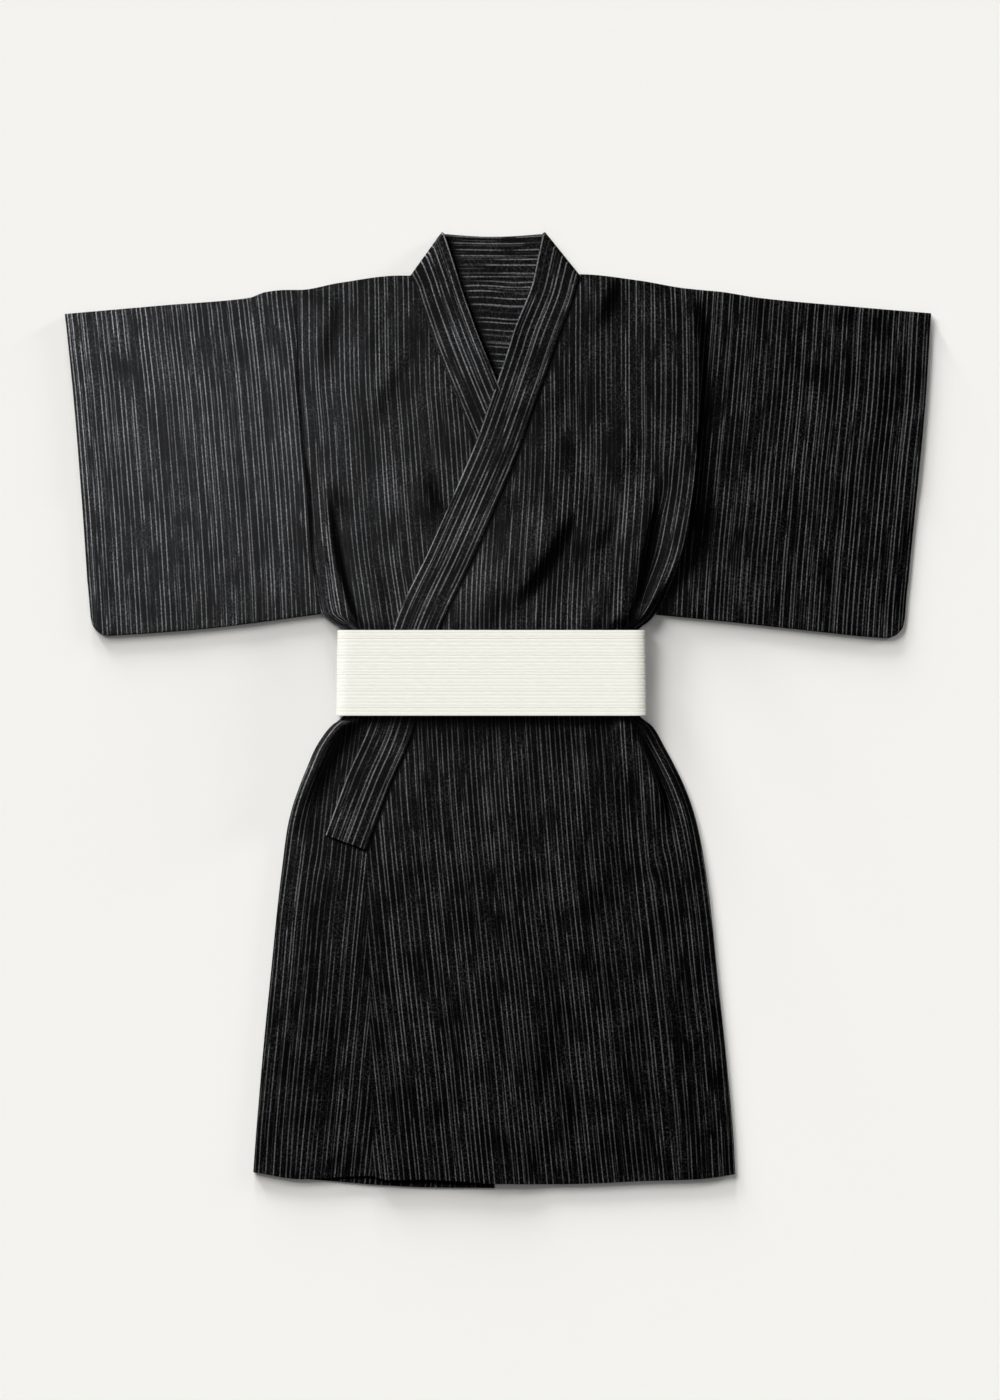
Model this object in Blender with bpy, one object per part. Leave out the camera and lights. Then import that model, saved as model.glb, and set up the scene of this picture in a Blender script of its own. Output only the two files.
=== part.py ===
"""A short striped kimono laid flat on a table, closed left over right, with its sash round the waist.

+X runs to the right of the laid-out garment, +Y from the hem to the collar and +Z up from the table.
Right and left in names are the wearer's, so the wearer's right side lies at -X.
Tables and sizes are in millimetres from the middle of the garment's outline.
"""

import math
from collections import namedtuple

import bpy
from mathutils import Vector

MM = 0.001

# Walls and the air between them
CLOTH = 1.5
COLLAR_WALL = 3.0
LINING_WALL = 1.0
SASH_WALL = 2.5
SEAM = 0.3
PLY = 0.45
LAID_GAP = 1.6

# Folds along the shoulder, the collar's turn at the neck and the sleeve's lower edge
SHOULDER_RADIUS = 2.6
COLLAR_TURN = 3.6
ARC_STEPS = 4

# Sash
SASH_TOP = 121.0
SASH_BOTTOM = -9.0
SASH_RIBS = 26
RIB_DEPTH = 0.5
SASH_HEIGHT = 22.5
SASH_UNDER_ROUND = 6.0
SASH_UPPER_ROUND = 11.0
SASH_FLARE = 2.0
SASH_RIGHT_END = -240.5
SASH_LEFT_END = 220.5

# Gathers of the back under the sash
GATHER_HEIGHT = 7.0
GATHERS_PER_SIDE = 3

# Collar and yoke
COLLAR_WIDTH = 65.0
COLLAR_END = -208.0
COLLAR_STRIPS = 4
OUTER_COLLAR_LIFT = 0.25
CENTRE = -5.0
NECK_SEAM = 645.8
YOKE_BOTTOM = 462.0
OVERLAP_POINT = 384.0
OVERLAP_TIP = 0.15

# Sleeve
CORNER_RADIUS = 30.0
CUFF_OPENING = 270.0
SLEEVE_FOOT = 147.0
CUFF_INSETS = [0, 2.5, 7, 14, 22, 32, 100, 170, 240]
ARMHOLE_INSETS = [60, 36, 24, 12, 0]

SHOULDER_ROW = 640.0
HEM_ROW = -700.0
NECK_RIGHT = -131.0
NECK_LEFT = 122.0

Side = namedtuple("Side", "y right left")
Line = namedtuple("Line", "y x")
Rim = namedtuple("Rim", "x y")
Fold = namedtuple("Fold", "half_width height grow fade foot path")
Spot = namedtuple("Spot", "x y z out_x out_y out_z", defaults=(0.0, 0.0, 1.0))

# Side of the body: the sleeve seam down to SLEEVE_FOOT, then the side seam
SIDES = [
    Side(640, -302, 298),
    Side(571, -302, 300),
    Side(497, -299, 301),
    Side(422, -293, 299),
    Side(346, -288, 293),
    Side(291, -284, 285),
    Side(242, -280, 276),
    Side(190, -274, 258),
    Side(147, -266, 237),
    Side(134, -251, 226),
    Side(120, -231, 209),
    Side(57, -230, 209),
    Side(-8, -232, 213),
    Side(-22, -250, 231),
    Side(-56, -274, 251),
    Side(-86, -287, 267),
    Side(-116, -299, 281),
    Side(-146, -309, 292),
    Side(-176, -316, 300),
    Side(-236, -324, 311),
    Side(-296, -331, 319),
    Side(-386, -340, 328),
    Side(-506, -352, 341),
    Side(-626, -362, 352),
    Side(-700, -367, 356),
]

# Shoulder line, from the right cuff to the left cuff
SHOULDER = [
    Rim(-649, 595.5),
    Rim(-500, 608.5),
    Rim(-373, 619.5),
    Rim(-350, 628),
    Rim(-318, 631.5),
    Rim(-298, 631.5),
    Rim(-238, 642),
    Rim(-148, 653),
    Rim(-131, 653),
    Rim(122, 655),
    Rim(212, 645.5),
    Rim(272, 635),
    Rim(298, 632),
    Rim(335, 628.5),
    Rim(392, 619.5),
    Rim(542, 605.5),
    Rim(649, 596.5),
]

# Cuff edges
CUFF_RIGHT = [Line(595, -649), Line(466, -636), Line(316, -624), Line(166, -614), Line(112, -611)]
CUFF_LEFT = [Line(597, 649), Line(466, 641), Line(316, 627), Line(166, 613), Line(109, 610)]
SLEEVE_FOOT_RIGHT = [Rim(-611, 111), Rim(-582, 112.5), Rim(-450, 122), Rim(-266, 145)]
SLEEVE_FOOT_LEFT = [Rim(237, 144), Rim(330, 135), Rim(450, 122), Rim(574, 109.5), Rim(610, 108)]

# Hems, from the right side to the left side; the right back hangs a little lower than the rest
HEM_UNDER = [Rim(-367, -691.5), Rim(-294, -702), Rim(-231, -698), Rim(-198, -697), Rim(0, -699)]
HEM_OVER = [
    Rim(-187, -697),
    Rim(-164, -703),
    Rim(-118, -702),
    Rim(-55, -705),
    Rim(-2, -709),
    Rim(92, -709.5),
    Rim(152, -708),
    Rim(212, -705),
    Rim(302, -702),
    Rim(356, -694.5),
]
HEM_BACK_RIGHT = [
    Rim(-367, -691),
    Rim(-313, -699.5),
    Rim(-238, -706),
    Rim(-178, -711),
    Rim(-103, -714.5),
    Rim(0, -715.5),
]
HEM_BACK_LEFT = [Rim(-5, -704), Rim(178, -701), Rim(356, -692)]

# Collar seams: the right front's runs under the left front from the crossing down
COLLAR_SEAM_RIGHT = [
    Line(653, -131),
    Line(617, -121),
    Line(557, -100),
    Line(501, -76),
    Line(450, -54),
    Line(384, -25),
    Line(316, 5),
    Line(227, 38),
    Line(121, 62),
    Line(-9, 70),
    Line(-208, 53),
]
COLLAR_SEAM_LEFT = [
    Line(654, 121),
    Line(621, 117),
    Line(546, 88),
    Line(449, 52),
    Line(384, 29),
    Line(316, 1),
    Line(227, -38),
    Line(122, -87),
    Line(57, -106),
    Line(-24, -125),
    Line(-116, -163),
    Line(-208, -197),
]

# Seams between each body length and its overlap, and the overlaps' free edges below the collar
OVERLAP_SEAM_RIGHT = [
    Line(384, -25), Line(227, -37), Line(121, -43), Line(-9, -46), Line(-208, -88), Line(-700, -140)
]
OVERLAP_SEAM_LEFT = [
    Line(384, 29), Line(227, 10), Line(121, -1), Line(-9, -5), Line(-208, -7), Line(-700, 17)
]
OVERLAP_EDGE_RIGHT = [Line(-208, 53), Line(-700, -2)]
OVERLAP_EDGE_LEFT = [Line(-208, -197), Line(-450, -192), Line(-700, -187)]

# Largest folds of the fronts, raised in every layer above the back. A path runs from the top of the
# fold to its bottom; grow and fade are the shares of it over which the fold rises and sinks, and foot
# is the share of its height that is left at the bottom end.
FOLDS_RIGHT = [
    Fold(13, 2.0, 0.2, 0.5, 0.0, [Line(612, -313), Line(422, -304), Line(290, -295), Line(180, -286)]),
    Fold(9, 3.6, 0.4, 0.2, 0.5, [
        Line(355, -284), Line(291, -279), Line(235, -272), Line(195, -261), Line(154, -247), Line(118, -221)
    ]),
    Fold(12, 6.0, 0.4, 0.2, 0.4, [
        Line(335, -267), Line(291, -262), Line(243, -252), Line(195, -239), Line(150, -225), Line(118, -207)
    ]),
    Fold(26, 3.2, 0.5, 0.2, 0.5, [Line(320, -224), Line(243, -207), Line(180, -191), Line(118, -176)]),
    Fold(9, 4.0, 0.1, 0.5, 0.0, [
        Line(-6, -222), Line(-22, -240), Line(-56, -265), Line(-86, -278), Line(-116, -290),
        Line(-176, -307), Line(-235, -316)
    ]),
    Fold(20, 3.0, 0.2, 0.6, 0.0, [Line(-6, -194), Line(-60, -226), Line(-120, -258), Line(-185, -272)]),
]
FOLDS_LEFT = [
    Fold(25, 8.0, 0.12, 0.2, 0.3, [
        Line(630, 293), Line(497, 296), Line(422, 294), Line(346, 288), Line(291, 280), Line(242, 270),
        Line(190, 252), Line(147, 230), Line(118, 200)
    ]),
    Fold(30, 3.8, 0.5, 0.2, 0.5, [Line(335, 190), Line(243, 184), Line(190, 170), Line(118, 146)]),
    Fold(11, 4.0, 0.1, 0.5, 0.0, [
        Line(-6, 202), Line(-22, 221), Line(-56, 241), Line(-86, 256), Line(-116, 269),
        Line(-146, 280), Line(-210, 296)
    ]),
    Fold(24, 3.2, 0.2, 0.6, 0.0, [Line(-6, 168), Line(-60, 202), Line(-120, 227), Line(-185, 244)]),
]

# Soft swells of one front alone
SWELLS_RIGHT = [
    Fold(30, 2.2, 0.5, 0.5, 0.0, [Line(632, -258), Line(500, -285)]),
    Fold(34, 2.2, 0.5, 0.5, 0.0, [Line(545, -150), Line(440, -220)]),
]
SWELLS_LEFT = [
    Fold(40, 5.5, 0.45, 0.5, 0.0, [Line(320, 112), Line(215, 50), Line(128, 6)]),
    Fold(36, 2.6, 0.5, 0.5, 0.0, [Line(638, 178), Line(510, 108)]),
    Fold(34, 1.6, 0.5, 0.5, 0.0, [Line(530, 104), Line(425, 68)]),
]

# Rows of the front, shared by every layer so that the layers stay parallel
FRONT_ROWS = [
    622, 600, 570, 535, 495, 450, 418, 384, 350, 316, 285, 256, 227, 200, 174, 147, 134, 120,
    57, -8, -22, -40, -62, -86, -115, -148, -190, -208, -240, -300, -370, -450, -540, -630, -700,
]
BACK_ROWS = [600, 535, 450, 350, 285, 227, 174, 147, 134, 120, 57, -8, -22, -62, -115, -190, -300, -450, -630, -700]

# Distances in from the side where the front's first columns run, then shares of what is left
EDGE_COLUMNS = [0, 8, 16, 25, 34, 46, 62]
INNER_SHARES = [0.12, 0.26, 0.42, 0.58, 0.74, 0.88, 1.0]
BACK_INNER_COLUMNS = 4
OVERLAP_COLUMNS = 4

COLOURS = {
    "striped_cotton": ((0.028, 0.028, 0.031, 1.0), 0.85),
    "sash_cotton": ((0.84, 0.83, 0.78, 1.0), 0.8),
}


def ramp(value, start, end):
    """0 at start, 1 at end, smooth between them."""
    share = min(1.0, max(0.0, (value - start) / (end - start)))
    return share * share * (3 - 2 * share)


def blend(a, b, share):
    return a + (b - a) * share


def bump(distance, half_width):
    """1 at no distance, falling smoothly to 0 at the half width."""
    share = min(1.0, abs(distance) / half_width)
    return math.cos(share * math.pi / 2) ** 2


def smooth_line(pairs):
    """A function through (key, value) pairs that never overshoots them."""
    pairs = sorted(pairs)
    keys = [p[0] for p in pairs]
    values = [p[1] for p in pairs]
    steps = [(values[i + 1] - values[i]) / (keys[i + 1] - keys[i]) for i in range(len(keys) - 1)]
    slopes = [steps[0]]
    for before, after in zip(steps, steps[1:]):
        same_way = before * after > 0
        slopes.append(2 * before * after / (before + after) if same_way else 0.0)
    slopes.append(steps[-1])

    def at(key):
        key = min(keys[-1], max(keys[0], key))
        i = max(k for k in range(len(keys) - 1) if keys[k] <= key)
        width = keys[i + 1] - keys[i]
        t = (key - keys[i]) / width
        low = values[i] * (1 + 2 * t) * (1 - t) ** 2 + slopes[i] * width * t * (1 - t) ** 2
        high = values[i + 1] * t * t * (3 - 2 * t) + slopes[i + 1] * width * t * t * (t - 1)
        return low + high

    return at


def across(rims):
    """y as a function of x."""
    return smooth_line([(rim.x, rim.y) for rim in rims])


def along(lines):
    """x as a function of y."""
    return smooth_line([(line.y, line.x) for line in lines])


side_of = {
    "right": smooth_line([(s.y, s.right) for s in SIDES]),
    "left": smooth_line([(s.y, s.left) for s in SIDES]),
}
INWARD = {"right": 1, "left": -1}
collar_seam = {"right": along(COLLAR_SEAM_RIGHT), "left": along(COLLAR_SEAM_LEFT)}
overlap_seam = {"right": along(OVERLAP_SEAM_RIGHT), "left": along(OVERLAP_SEAM_LEFT)}
overlap_edge = {"right": along(OVERLAP_EDGE_RIGHT), "left": along(OVERLAP_EDGE_LEFT)}
folds_of = {
    "right": [(fold, along(fold.path)) for fold in FOLDS_RIGHT],
    "left": [(fold, along(fold.path)) for fold in FOLDS_LEFT],
}
swells_of = {
    "right": [(fold, along(fold.path)) for fold in SWELLS_RIGHT],
    "left": [(fold, along(fold.path)) for fold in SWELLS_LEFT],
}
front_hem = {"right": across(HEM_UNDER), "left": across(HEM_OVER)}
back_hem = {"right": across(HEM_BACK_RIGHT), "left": across(HEM_BACK_LEFT)}
shoulder_line = across(SHOULDER)


def near_shoulder(x, y):
    """The y of a row's point once the rows near the shoulder follow its line."""
    return y + (shoulder_line(x) - SHOULDER_ROW) * ramp(y, 480, SHOULDER_ROW)


def row_height(x, y, hem):
    """The y of a row's point once the rows near the shoulder and the hem follow those edges."""
    return near_shoulder(x, y) + (hem(x) - HEM_ROW) * ramp(y, -560, HEM_ROW)


def back_rise(y):
    """How far the sash's lower run lifts the back off the table."""
    zone = ramp(y, SASH_TOP + 50, SASH_TOP + 6) * ramp(y, SASH_BOTTOM - 50, SASH_BOTTOM - 6)
    return (SASH_WALL + SEAM) * zone


def gather(y):
    """Share of the full gather height, 1 inside the sash."""
    return ramp(y, SASH_TOP + 90, SASH_TOP + 6) * ramp(y, SASH_BOTTOM - 68, SASH_BOTTOM - 6)


def depth_in(side, x, y):
    """Distance of a point in from the side seam."""
    return (x - side_of[side](y)) * INWARD[side]


def back_height(side, x, y):
    """Middle of the back's wall, with its gathers under the sash."""
    width = (CENTRE - side_of[side](y)) * INWARD[side]
    wave = 0.5 - 0.5 * math.cos(2 * math.pi * GATHERS_PER_SIDE * depth_in(side, x, y) / width)
    return back_rise(y) + GATHER_HEIGHT * gather(y) * wave + CLOTH / 2


def laid_gap(y):
    """Air under the front: most at the shoulder fold, least at the hem."""
    at_shoulder = 2 * SHOULDER_RADIUS - CLOTH - PLY
    gap = blend(LAID_GAP, at_shoulder, ramp(y, 560, 630))
    return gap * blend(0.2, 1.0, ramp(y, -700, -450)) * (1 - 0.9 * gather(y))


def fold_height(folds, x, y):
    """Height that a table's folds add at a point."""
    total = 0.0
    for fold, path in folds:
        share = (fold.path[0].y - y) / (fold.path[0].y - fold.path[-1].y)
        if 0 <= share <= 1:
            sunk = (1 - fold.foot) * ramp(share, 1 - fold.fade, 1)
            total += fold.height * ramp(share, 0, fold.grow) * (1 - sunk) * bump(x - path(y), fold.half_width)
    return total


def front_floor(x, y):
    """Underside of the lowest front layer, just clear of the back."""
    side = "right" if x < CENTRE else "left"
    depth = depth_in(side, x, y)
    lowest = back_rise(y) + CLOTH + PLY
    risen = lowest + GATHER_HEIGHT * gather(y) * ramp(depth, -2, 30)
    edge_air = laid_gap(y) * blend(ramp(depth, -2, 26), 1.0, ramp(y, 150, 260))
    open_side = blend(ramp(depth, -1, 15), 1.0, ramp(y, 147, 190))
    return risen + edge_air + open_side * fold_height(folds_of[side], x, y)


def under_edge(y):
    """x of the free edge of what lies under the left front: the right collar, then the right overlap."""
    collar_free = collar_seam["right"](y) + COLLAR_WIDTH * 1.1
    return blend(overlap_edge["right"](y), collar_free, ramp(y, COLLAR_END - 40, COLLAR_END - 18))


def over_floor(x, y):
    """Underside of the left front and its collar, on top of the right front where that lies below."""
    seam = collar_seam["right"](y)
    collar_share = ramp(x, seam - 84, seam - 52) * ramp(y, COLLAR_END - 40, COLLAR_END - 18)
    wall = blend(CLOTH, COLLAR_WALL, collar_share)
    edge = under_edge(y)
    return front_floor(x, y) + (wall + PLY) * ramp(x, edge + 92, edge + 58)


def front_height(side, x, y):
    """Middle of the wall of a body front or an overlap."""
    floor = front_floor(x, y) if side == "right" else over_floor(x, y)
    return floor + fold_height(swells_of[side], x, y) + CLOTH / 2


def material(name):
    found = bpy.data.materials.get(name)
    if found:
        return found
    colour, roughness = COLOURS[name]
    made = bpy.data.materials.new(name)
    made.use_nodes = True
    shader = made.node_tree.nodes["Principled BSDF"]
    shader.inputs["Base Color"].default_value = colour
    shader.inputs["Roughness"].default_value = roughness
    shader.inputs["Metallic"].default_value = 0.0
    made.diffuse_color = colour
    return made


def solid(name, points, faces, slot):
    mesh = bpy.data.meshes.new(name)
    mesh.from_pydata([(x * MM, y * MM, z * MM) for x, y, z in points], [], faces)
    mesh.materials.append(material(slot))
    made = bpy.data.objects.new(name, mesh)
    garment.objects.link(made)
    return made


def cloth(name, rows, wall, ring=False):
    """A wall of cloth through rows of spots; each spot says which way is out, and a short row ends early."""
    spots = [spot for row in rows for spot in row]
    starts = [sum(len(row) for row in rows[:i]) for i in range(len(rows))]
    quads = []
    for i in range(len(rows) if ring else len(rows) - 1):
        k = (i + 1) % len(rows)
        for j in range(min(len(rows[i]), len(rows[k])) - 1):
            quads.append((starts[i] + j, starts[i] + j + 1, starts[k] + j + 1, starts[k] + j))
    first = [Vector(spots[corner][:3]) for corner in quads[0]]
    looks = (first[1] - first[0]).cross(first[3] - first[0])
    if looks.dot(Vector(spots[quads[0][0]][3:])) < 0:
        quads = [quad[::-1] for quad in quads]
    points = []
    for sign in (0.5, -0.5):
        for spot in spots:
            points.append(tuple(spot[k] + spot[k + 3] * sign * wall for k in range(3)))
    count = len(spots)
    edges = {(quad[k], quad[(k + 1) % 4]) for quad in quads for k in range(4)}
    faces = list(quads)
    faces += [tuple(corner + count for corner in quad[::-1]) for quad in quads]
    faces += [(b, a, a + count, b + count) for a, b in sorted(edges) if (b, a) not in edges]
    return solid(name, points, faces, "striped_cotton")


def fold_arc(x, line_y, lower, upper):
    """Points over a fold whose outer face reaches line_y, from the upper layer to the lower one."""
    radius = (upper - lower) / 2
    middle_y = line_y - radius - CLOTH / 2
    arc = []
    for step in range(ARC_STEPS + 1):
        angle = math.pi / 2 - math.pi * step / ARC_STEPS
        out_y = math.cos(angle)
        out_z = math.sin(angle)
        z = (upper + lower) / 2 + radius * out_z
        arc.append(Spot(x, middle_y + radius * out_y, z, 0.0, out_y, out_z))
    return arc


def front_columns(side, y, inner):
    """x of each column of a body front, from the side seam to its inner edge."""
    start = side_of[side](y) + INWARD[side] * SEAM / 2
    width = (inner - start) * INWARD[side]
    last = EDGE_COLUMNS[-1]
    depths = EDGE_COLUMNS + [last + (width - last) * share for share in INNER_SHARES]
    return [start + INWARD[side] * depth for depth in depths]


def front_inner_edge(side, y):
    """x of a body front's inner edge: the collar seam, then the overlap seam."""
    seam = collar_seam[side] if y >= OVERLAP_POINT else overlap_seam[side]
    return seam(y) - INWARD[side] * SEAM / 2


def body(side):
    """One length of cloth: up the front, over the shoulder fold and down the back to the centre seam."""
    neck = {"right": NECK_RIGHT, "left": NECK_LEFT}[side] - INWARD[side] * SEAM / 2
    rows = []
    for y in reversed(FRONT_ROWS):
        row = []
        for x in front_columns(side, y, front_inner_edge(side, y)):
            row.append(Spot(x, row_height(x, y, front_hem[side]), front_height(side, x, y)))
        rows.append(row)
    top_columns = front_columns(side, SHOULDER_ROW, neck)
    lower = CLOTH / 2
    arcs = [fold_arc(x, shoulder_line(x), lower, lower + 2 * SHOULDER_RADIUS) for x in top_columns]
    rows += [[arc[step] for arc in arcs] for step in range(ARC_STEPS)]
    centre = CENTRE - INWARD[side] * SEAM / 2
    start = neck + INWARD[side] * 5.0
    neckline = []
    for step in range(BACK_INNER_COLUMNS):
        x = blend(start, centre, step / (BACK_INNER_COLUMNS - 1))
        neckline.append(Spot(x, NECK_SEAM - SEAM, lower, 0.0, 0.0, -1.0))
    rows.append([arc[-1] for arc in arcs] + neckline)
    count = len(rows[-1])
    top_side = side_of[side](SHOULDER_ROW)
    top_shares = [(point[0] - top_side) / (centre - top_side) for point in rows[-1]]
    for y in BACK_ROWS:
        start = side_of[side](y) + INWARD[side] * SEAM / 2
        even = ramp(y, 600, 350)
        row = []
        for j in range(count):
            share = blend(top_shares[j], j / (count - 1), even)
            x = blend(start, centre, share)
            z = back_height(side, x, y)
            row.append(Spot(x, row_height(x, y, back_hem[side]), z, 0.0, 0.0, -1.0))
        rows.append(row)
    return cloth("body_" + side, rows, CLOTH)


def overlap(side):
    """The gusset between a body front and the collar, from its point at the collar seam to the hem."""
    rows = []
    for y in [row for row in FRONT_ROWS if row <= OVERLAP_POINT]:
        seam = overlap_seam[side](y) + INWARD[side] * SEAM / 2
        edge = collar_seam[side](y) if y > COLLAR_END else overlap_edge[side](y)
        edge -= INWARD[side] * SEAM / 2
        row = []
        for j in range(OVERLAP_COLUMNS + 1):
            x = blend(seam, edge, j / OVERLAP_COLUMNS)
            row.append(Spot(x, row_height(x, y, front_hem[side]), front_height(side, x, y)))
        rows.append(row)
    tip = [Spot(*(blend(a, b, OVERLAP_TIP) for a, b in zip(*pair))) for pair in zip(rows[0], rows[1])]
    return cloth("overlap_" + side, [tip] + rows[1:], CLOTH)


def sleeve(side):
    """A flat bag open at the armhole and the upper part of the cuff edge, with one rounded corner."""
    inward = INWARD[side]
    cuff = along({"right": CUFF_RIGHT, "left": CUFF_LEFT}[side])
    foot = across({"right": SLEEVE_FOOT_RIGHT, "left": SLEEVE_FOOT_LEFT}[side])
    upper_rows = [SHOULDER_ROW] + [y for y in FRONT_ROWS if y >= SLEEVE_FOOT]
    lower_rows = [SHOULDER_ROW] + [y for y in BACK_ROWS if y >= SLEEVE_FOOT]

    def column(inset, from_armhole):
        """The ring of points at one distance from the cuff edge, or from the armhole."""
        at_armhole = from_armhole == 0

        def point(y):
            """x and y on the column for one of the body's rows."""
            inner_x = side_of[side](y) - inward * SEAM / 2
            inner_y = near_shoulder(inner_x, y)
            if at_armhole:
                return inner_x, inner_y
            share_down = (SHOULDER_ROW - y) / (SHOULDER_ROW - SLEEVE_FOOT)
            outer_top = shoulder_line(cuff(600))
            outer_foot = foot(cuff(112))
            outer_y = blend(outer_top, outer_foot, share_down)
            outer_x = cuff(outer_y)
            width = abs(inner_x - outer_x)
            share = 1 - from_armhole / width if inset is None else inset / width
            return blend(outer_x, inner_x, share), blend(outer_y, inner_y, share)

        top_x = point(SHOULDER_ROW)[0]
        foot_x = point(SLEEVE_FOOT)[0]
        top_y = shoulder_line(top_x)
        foot_y = foot(foot_x)
        if inset is not None and inset < CORNER_RADIUS:
            foot_y += CORNER_RADIUS - math.sqrt(CORNER_RADIUS**2 - (CORNER_RADIUS - inset) ** 2)
        sewn_below = top_y - CUFF_OPENING

        def upper_mid(x, y):
            """Middle of the upper layer's wall: down onto the lower layer where the cuff edge is sewn."""
            if at_armhole:
                return front_floor(x, y) + CLOTH / 2
            air = laid_gap(y) * blend(0.75, 1.0, ramp(depth_in(side, x, y), -60, -4))
            open_z = 1.5 * CLOTH + PLY + air + fold_height(folds_of[side], x, y)
            if inset is None:
                return open_z
            sewn = ramp(y, sewn_below + 12, sewn_below - 12) * (1 - ramp(inset, 0, 14))
            return blend(open_z, 1.5 * CLOTH + SEAM, sewn)

        lower = CLOTH / 2
        shoulder_top = lower + 2 * SHOULDER_RADIUS
        ring = fold_arc(top_x, top_y, lower, shoulder_top)[::-1]
        foot_top = upper_mid(foot_x, foot_y)
        radius = (foot_top - lower) / 2
        upper_end = foot_y + radius + CLOTH / 2
        for y in upper_rows[1:-1]:
            px, py = point(y)
            if py > upper_end + 4:
                ring.append(Spot(px, py, upper_mid(px, py)))
            else:
                ring.append(None)
        turn = []
        for step in range(ARC_STEPS + 1):
            angle = math.pi / 2 + math.pi * step / ARC_STEPS
            out_y = math.cos(angle)
            out_z = math.sin(angle)
            z = (foot_top + lower) / 2 + radius * out_z
            turn.append(Spot(foot_x, upper_end + radius * out_y, z, 0.0, out_y, out_z))
        ring += turn
        for y in reversed(lower_rows[1:-1]):
            px, py = point(y)
            ring.append(Spot(px, py, lower, 0.0, 0.0, -1.0) if py > upper_end + 4 else None)
        return space_out(ring)

    rings = [column(inset, None) for inset in CUFF_INSETS] + [column(None, near) for near in ARMHOLE_INSETS]
    rows = [list(row) for row in zip(*rings)]
    return cloth("sleeve_" + side, rows, CLOTH, ring=True)


def space_out(ring):
    """Rows that the rounded corner cuts off are spread over the last stretch above it."""
    filled = list(ring)
    for i, spot in enumerate(ring):
        if spot is None:
            before = max(k for k in range(i) if ring[k] is not None)
            after = min(k for k in range(i, len(ring)) if ring[k] is not None)
            share = (i - before) / (after - before)
            between = [blend(a, b, share) for a, b in zip(ring[before][:3], ring[after][:3])]
            out = ring[before][3:] if ring[before].out_y == 0 else ring[after][3:]
            filled[i] = Spot(*between, *out)
    return filled


def band_section(side, y):
    """Spots across the collar at one row of a front, level except near the neck and the band's end."""
    inward = INWARD[side]
    seam = collar_seam[side]
    slope = (seam(y + 12.0) - seam(y - 12.0)) / 24.0
    square = ramp(y, 560, 615) + ramp(y, COLLAR_END + 45, COLLAR_END)
    length = math.hypot(1.0, slope)
    start = seam(y) + inward * SEAM / 2
    height = over_floor if side == "left" else front_floor
    lift = COLLAR_WALL / 2 + (OUTER_COLLAR_LIFT if side == "left" else 0.0)
    row = []
    for j in range(COLLAR_STRIPS + 1):
        share = COLLAR_WIDTH * j / COLLAR_STRIPS
        x = start + inward * share * blend(length, 1 / length, square)
        rise = -inward * slope / length * share * square
        row.append(Spot(x, near_shoulder(start, y) + rise, height(x, y) + lift))
    return row


def neck_turn(seam_point, free_point, outward_sign):
    """Sections over the collar's fold at one side of the neck, from the upper layer to the lower one."""
    fold = (free_point[0] - seam_point[0], free_point[1] - seam_point[1])
    length = math.hypot(*fold)
    outward = (-fold[1] / length * outward_sign, fold[0] / length * outward_sign)
    lower = COLLAR_WALL / 2
    sections = []
    for step in range(ARC_STEPS + 1):
        angle = math.pi / 2 - math.pi * step / ARC_STEPS
        reach = COLLAR_TURN * math.cos(angle) - COLLAR_TURN - COLLAR_WALL / 2
        z = lower + COLLAR_TURN + COLLAR_TURN * math.sin(angle)
        out = (outward[0] * math.cos(angle), outward[1] * math.cos(angle), math.sin(angle))
        row = []
        for j in range(COLLAR_STRIPS + 1):
            share = j / COLLAR_STRIPS
            x = seam_point[0] + fold[0] * share + outward[0] * reach
            y = seam_point[1] + fold[1] * share + outward[1] * reach
            row.append(Spot(x, y, z, *out))
        sections.append(row)
    return sections


def collar():
    """One band: up the left front, over the neck fold, across the back of the neck and down the right front."""
    rows = [y for y in FRONT_ROWS if y >= COLLAR_END]
    left_front = [band_section("left", y) for y in reversed(rows)]
    right_front = [band_section("right", y) for y in rows]
    left_turn = neck_turn((121.3, 655.0), (70.5, 718.0), -1)
    right_turn = neck_turn((-130.6, 653.8), (-84.5, 718.0), 1)
    back = []
    steps = 5
    for step in range(1, steps):
        share = step / steps
        seam_x = blend(left_turn[-1][0][0], right_turn[-1][0][0], share)
        free_x = blend(left_turn[-1][-1][0], right_turn[-1][-1][0], share)
        free_y = 715.2 - 4.2 * math.sin(math.pi * share)
        row = []
        for j in range(COLLAR_STRIPS + 1):
            across_band = j / COLLAR_STRIPS
            x = blend(seam_x, free_x, across_band)
            y = blend(NECK_SEAM + SEAM, free_y, across_band)
            row.append(Spot(x, y, COLLAR_WALL / 2, 0.0, 0.0, -1.0))
        back.append(row)
    sections = left_front + left_turn + back + right_turn[::-1] + right_front
    return cloth("collar", sections, COLLAR_WALL)


def yoke_lining(side):
    """The inner yoke behind the neck opening, cut crosswise, flat on the back."""
    inward = INWARD[side]
    outer = {"right": NECK_RIGHT, "left": NECK_LEFT}[side] + inward * 6
    rows = []
    for step in range(7):
        y = blend(NECK_SEAM - 2 * SEAM, YOKE_BOTTOM, step / 6)
        row = []
        for j in range(5):
            x = blend(outer, CENTRE - inward * SEAM / 2, j / 4)
            row.append(Spot(x, y, CLOTH + SEAM + LINING_WALL / 2))
        rows.append(row)
    return cloth("yoke_lining_" + side, rows, LINING_WALL)


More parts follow.
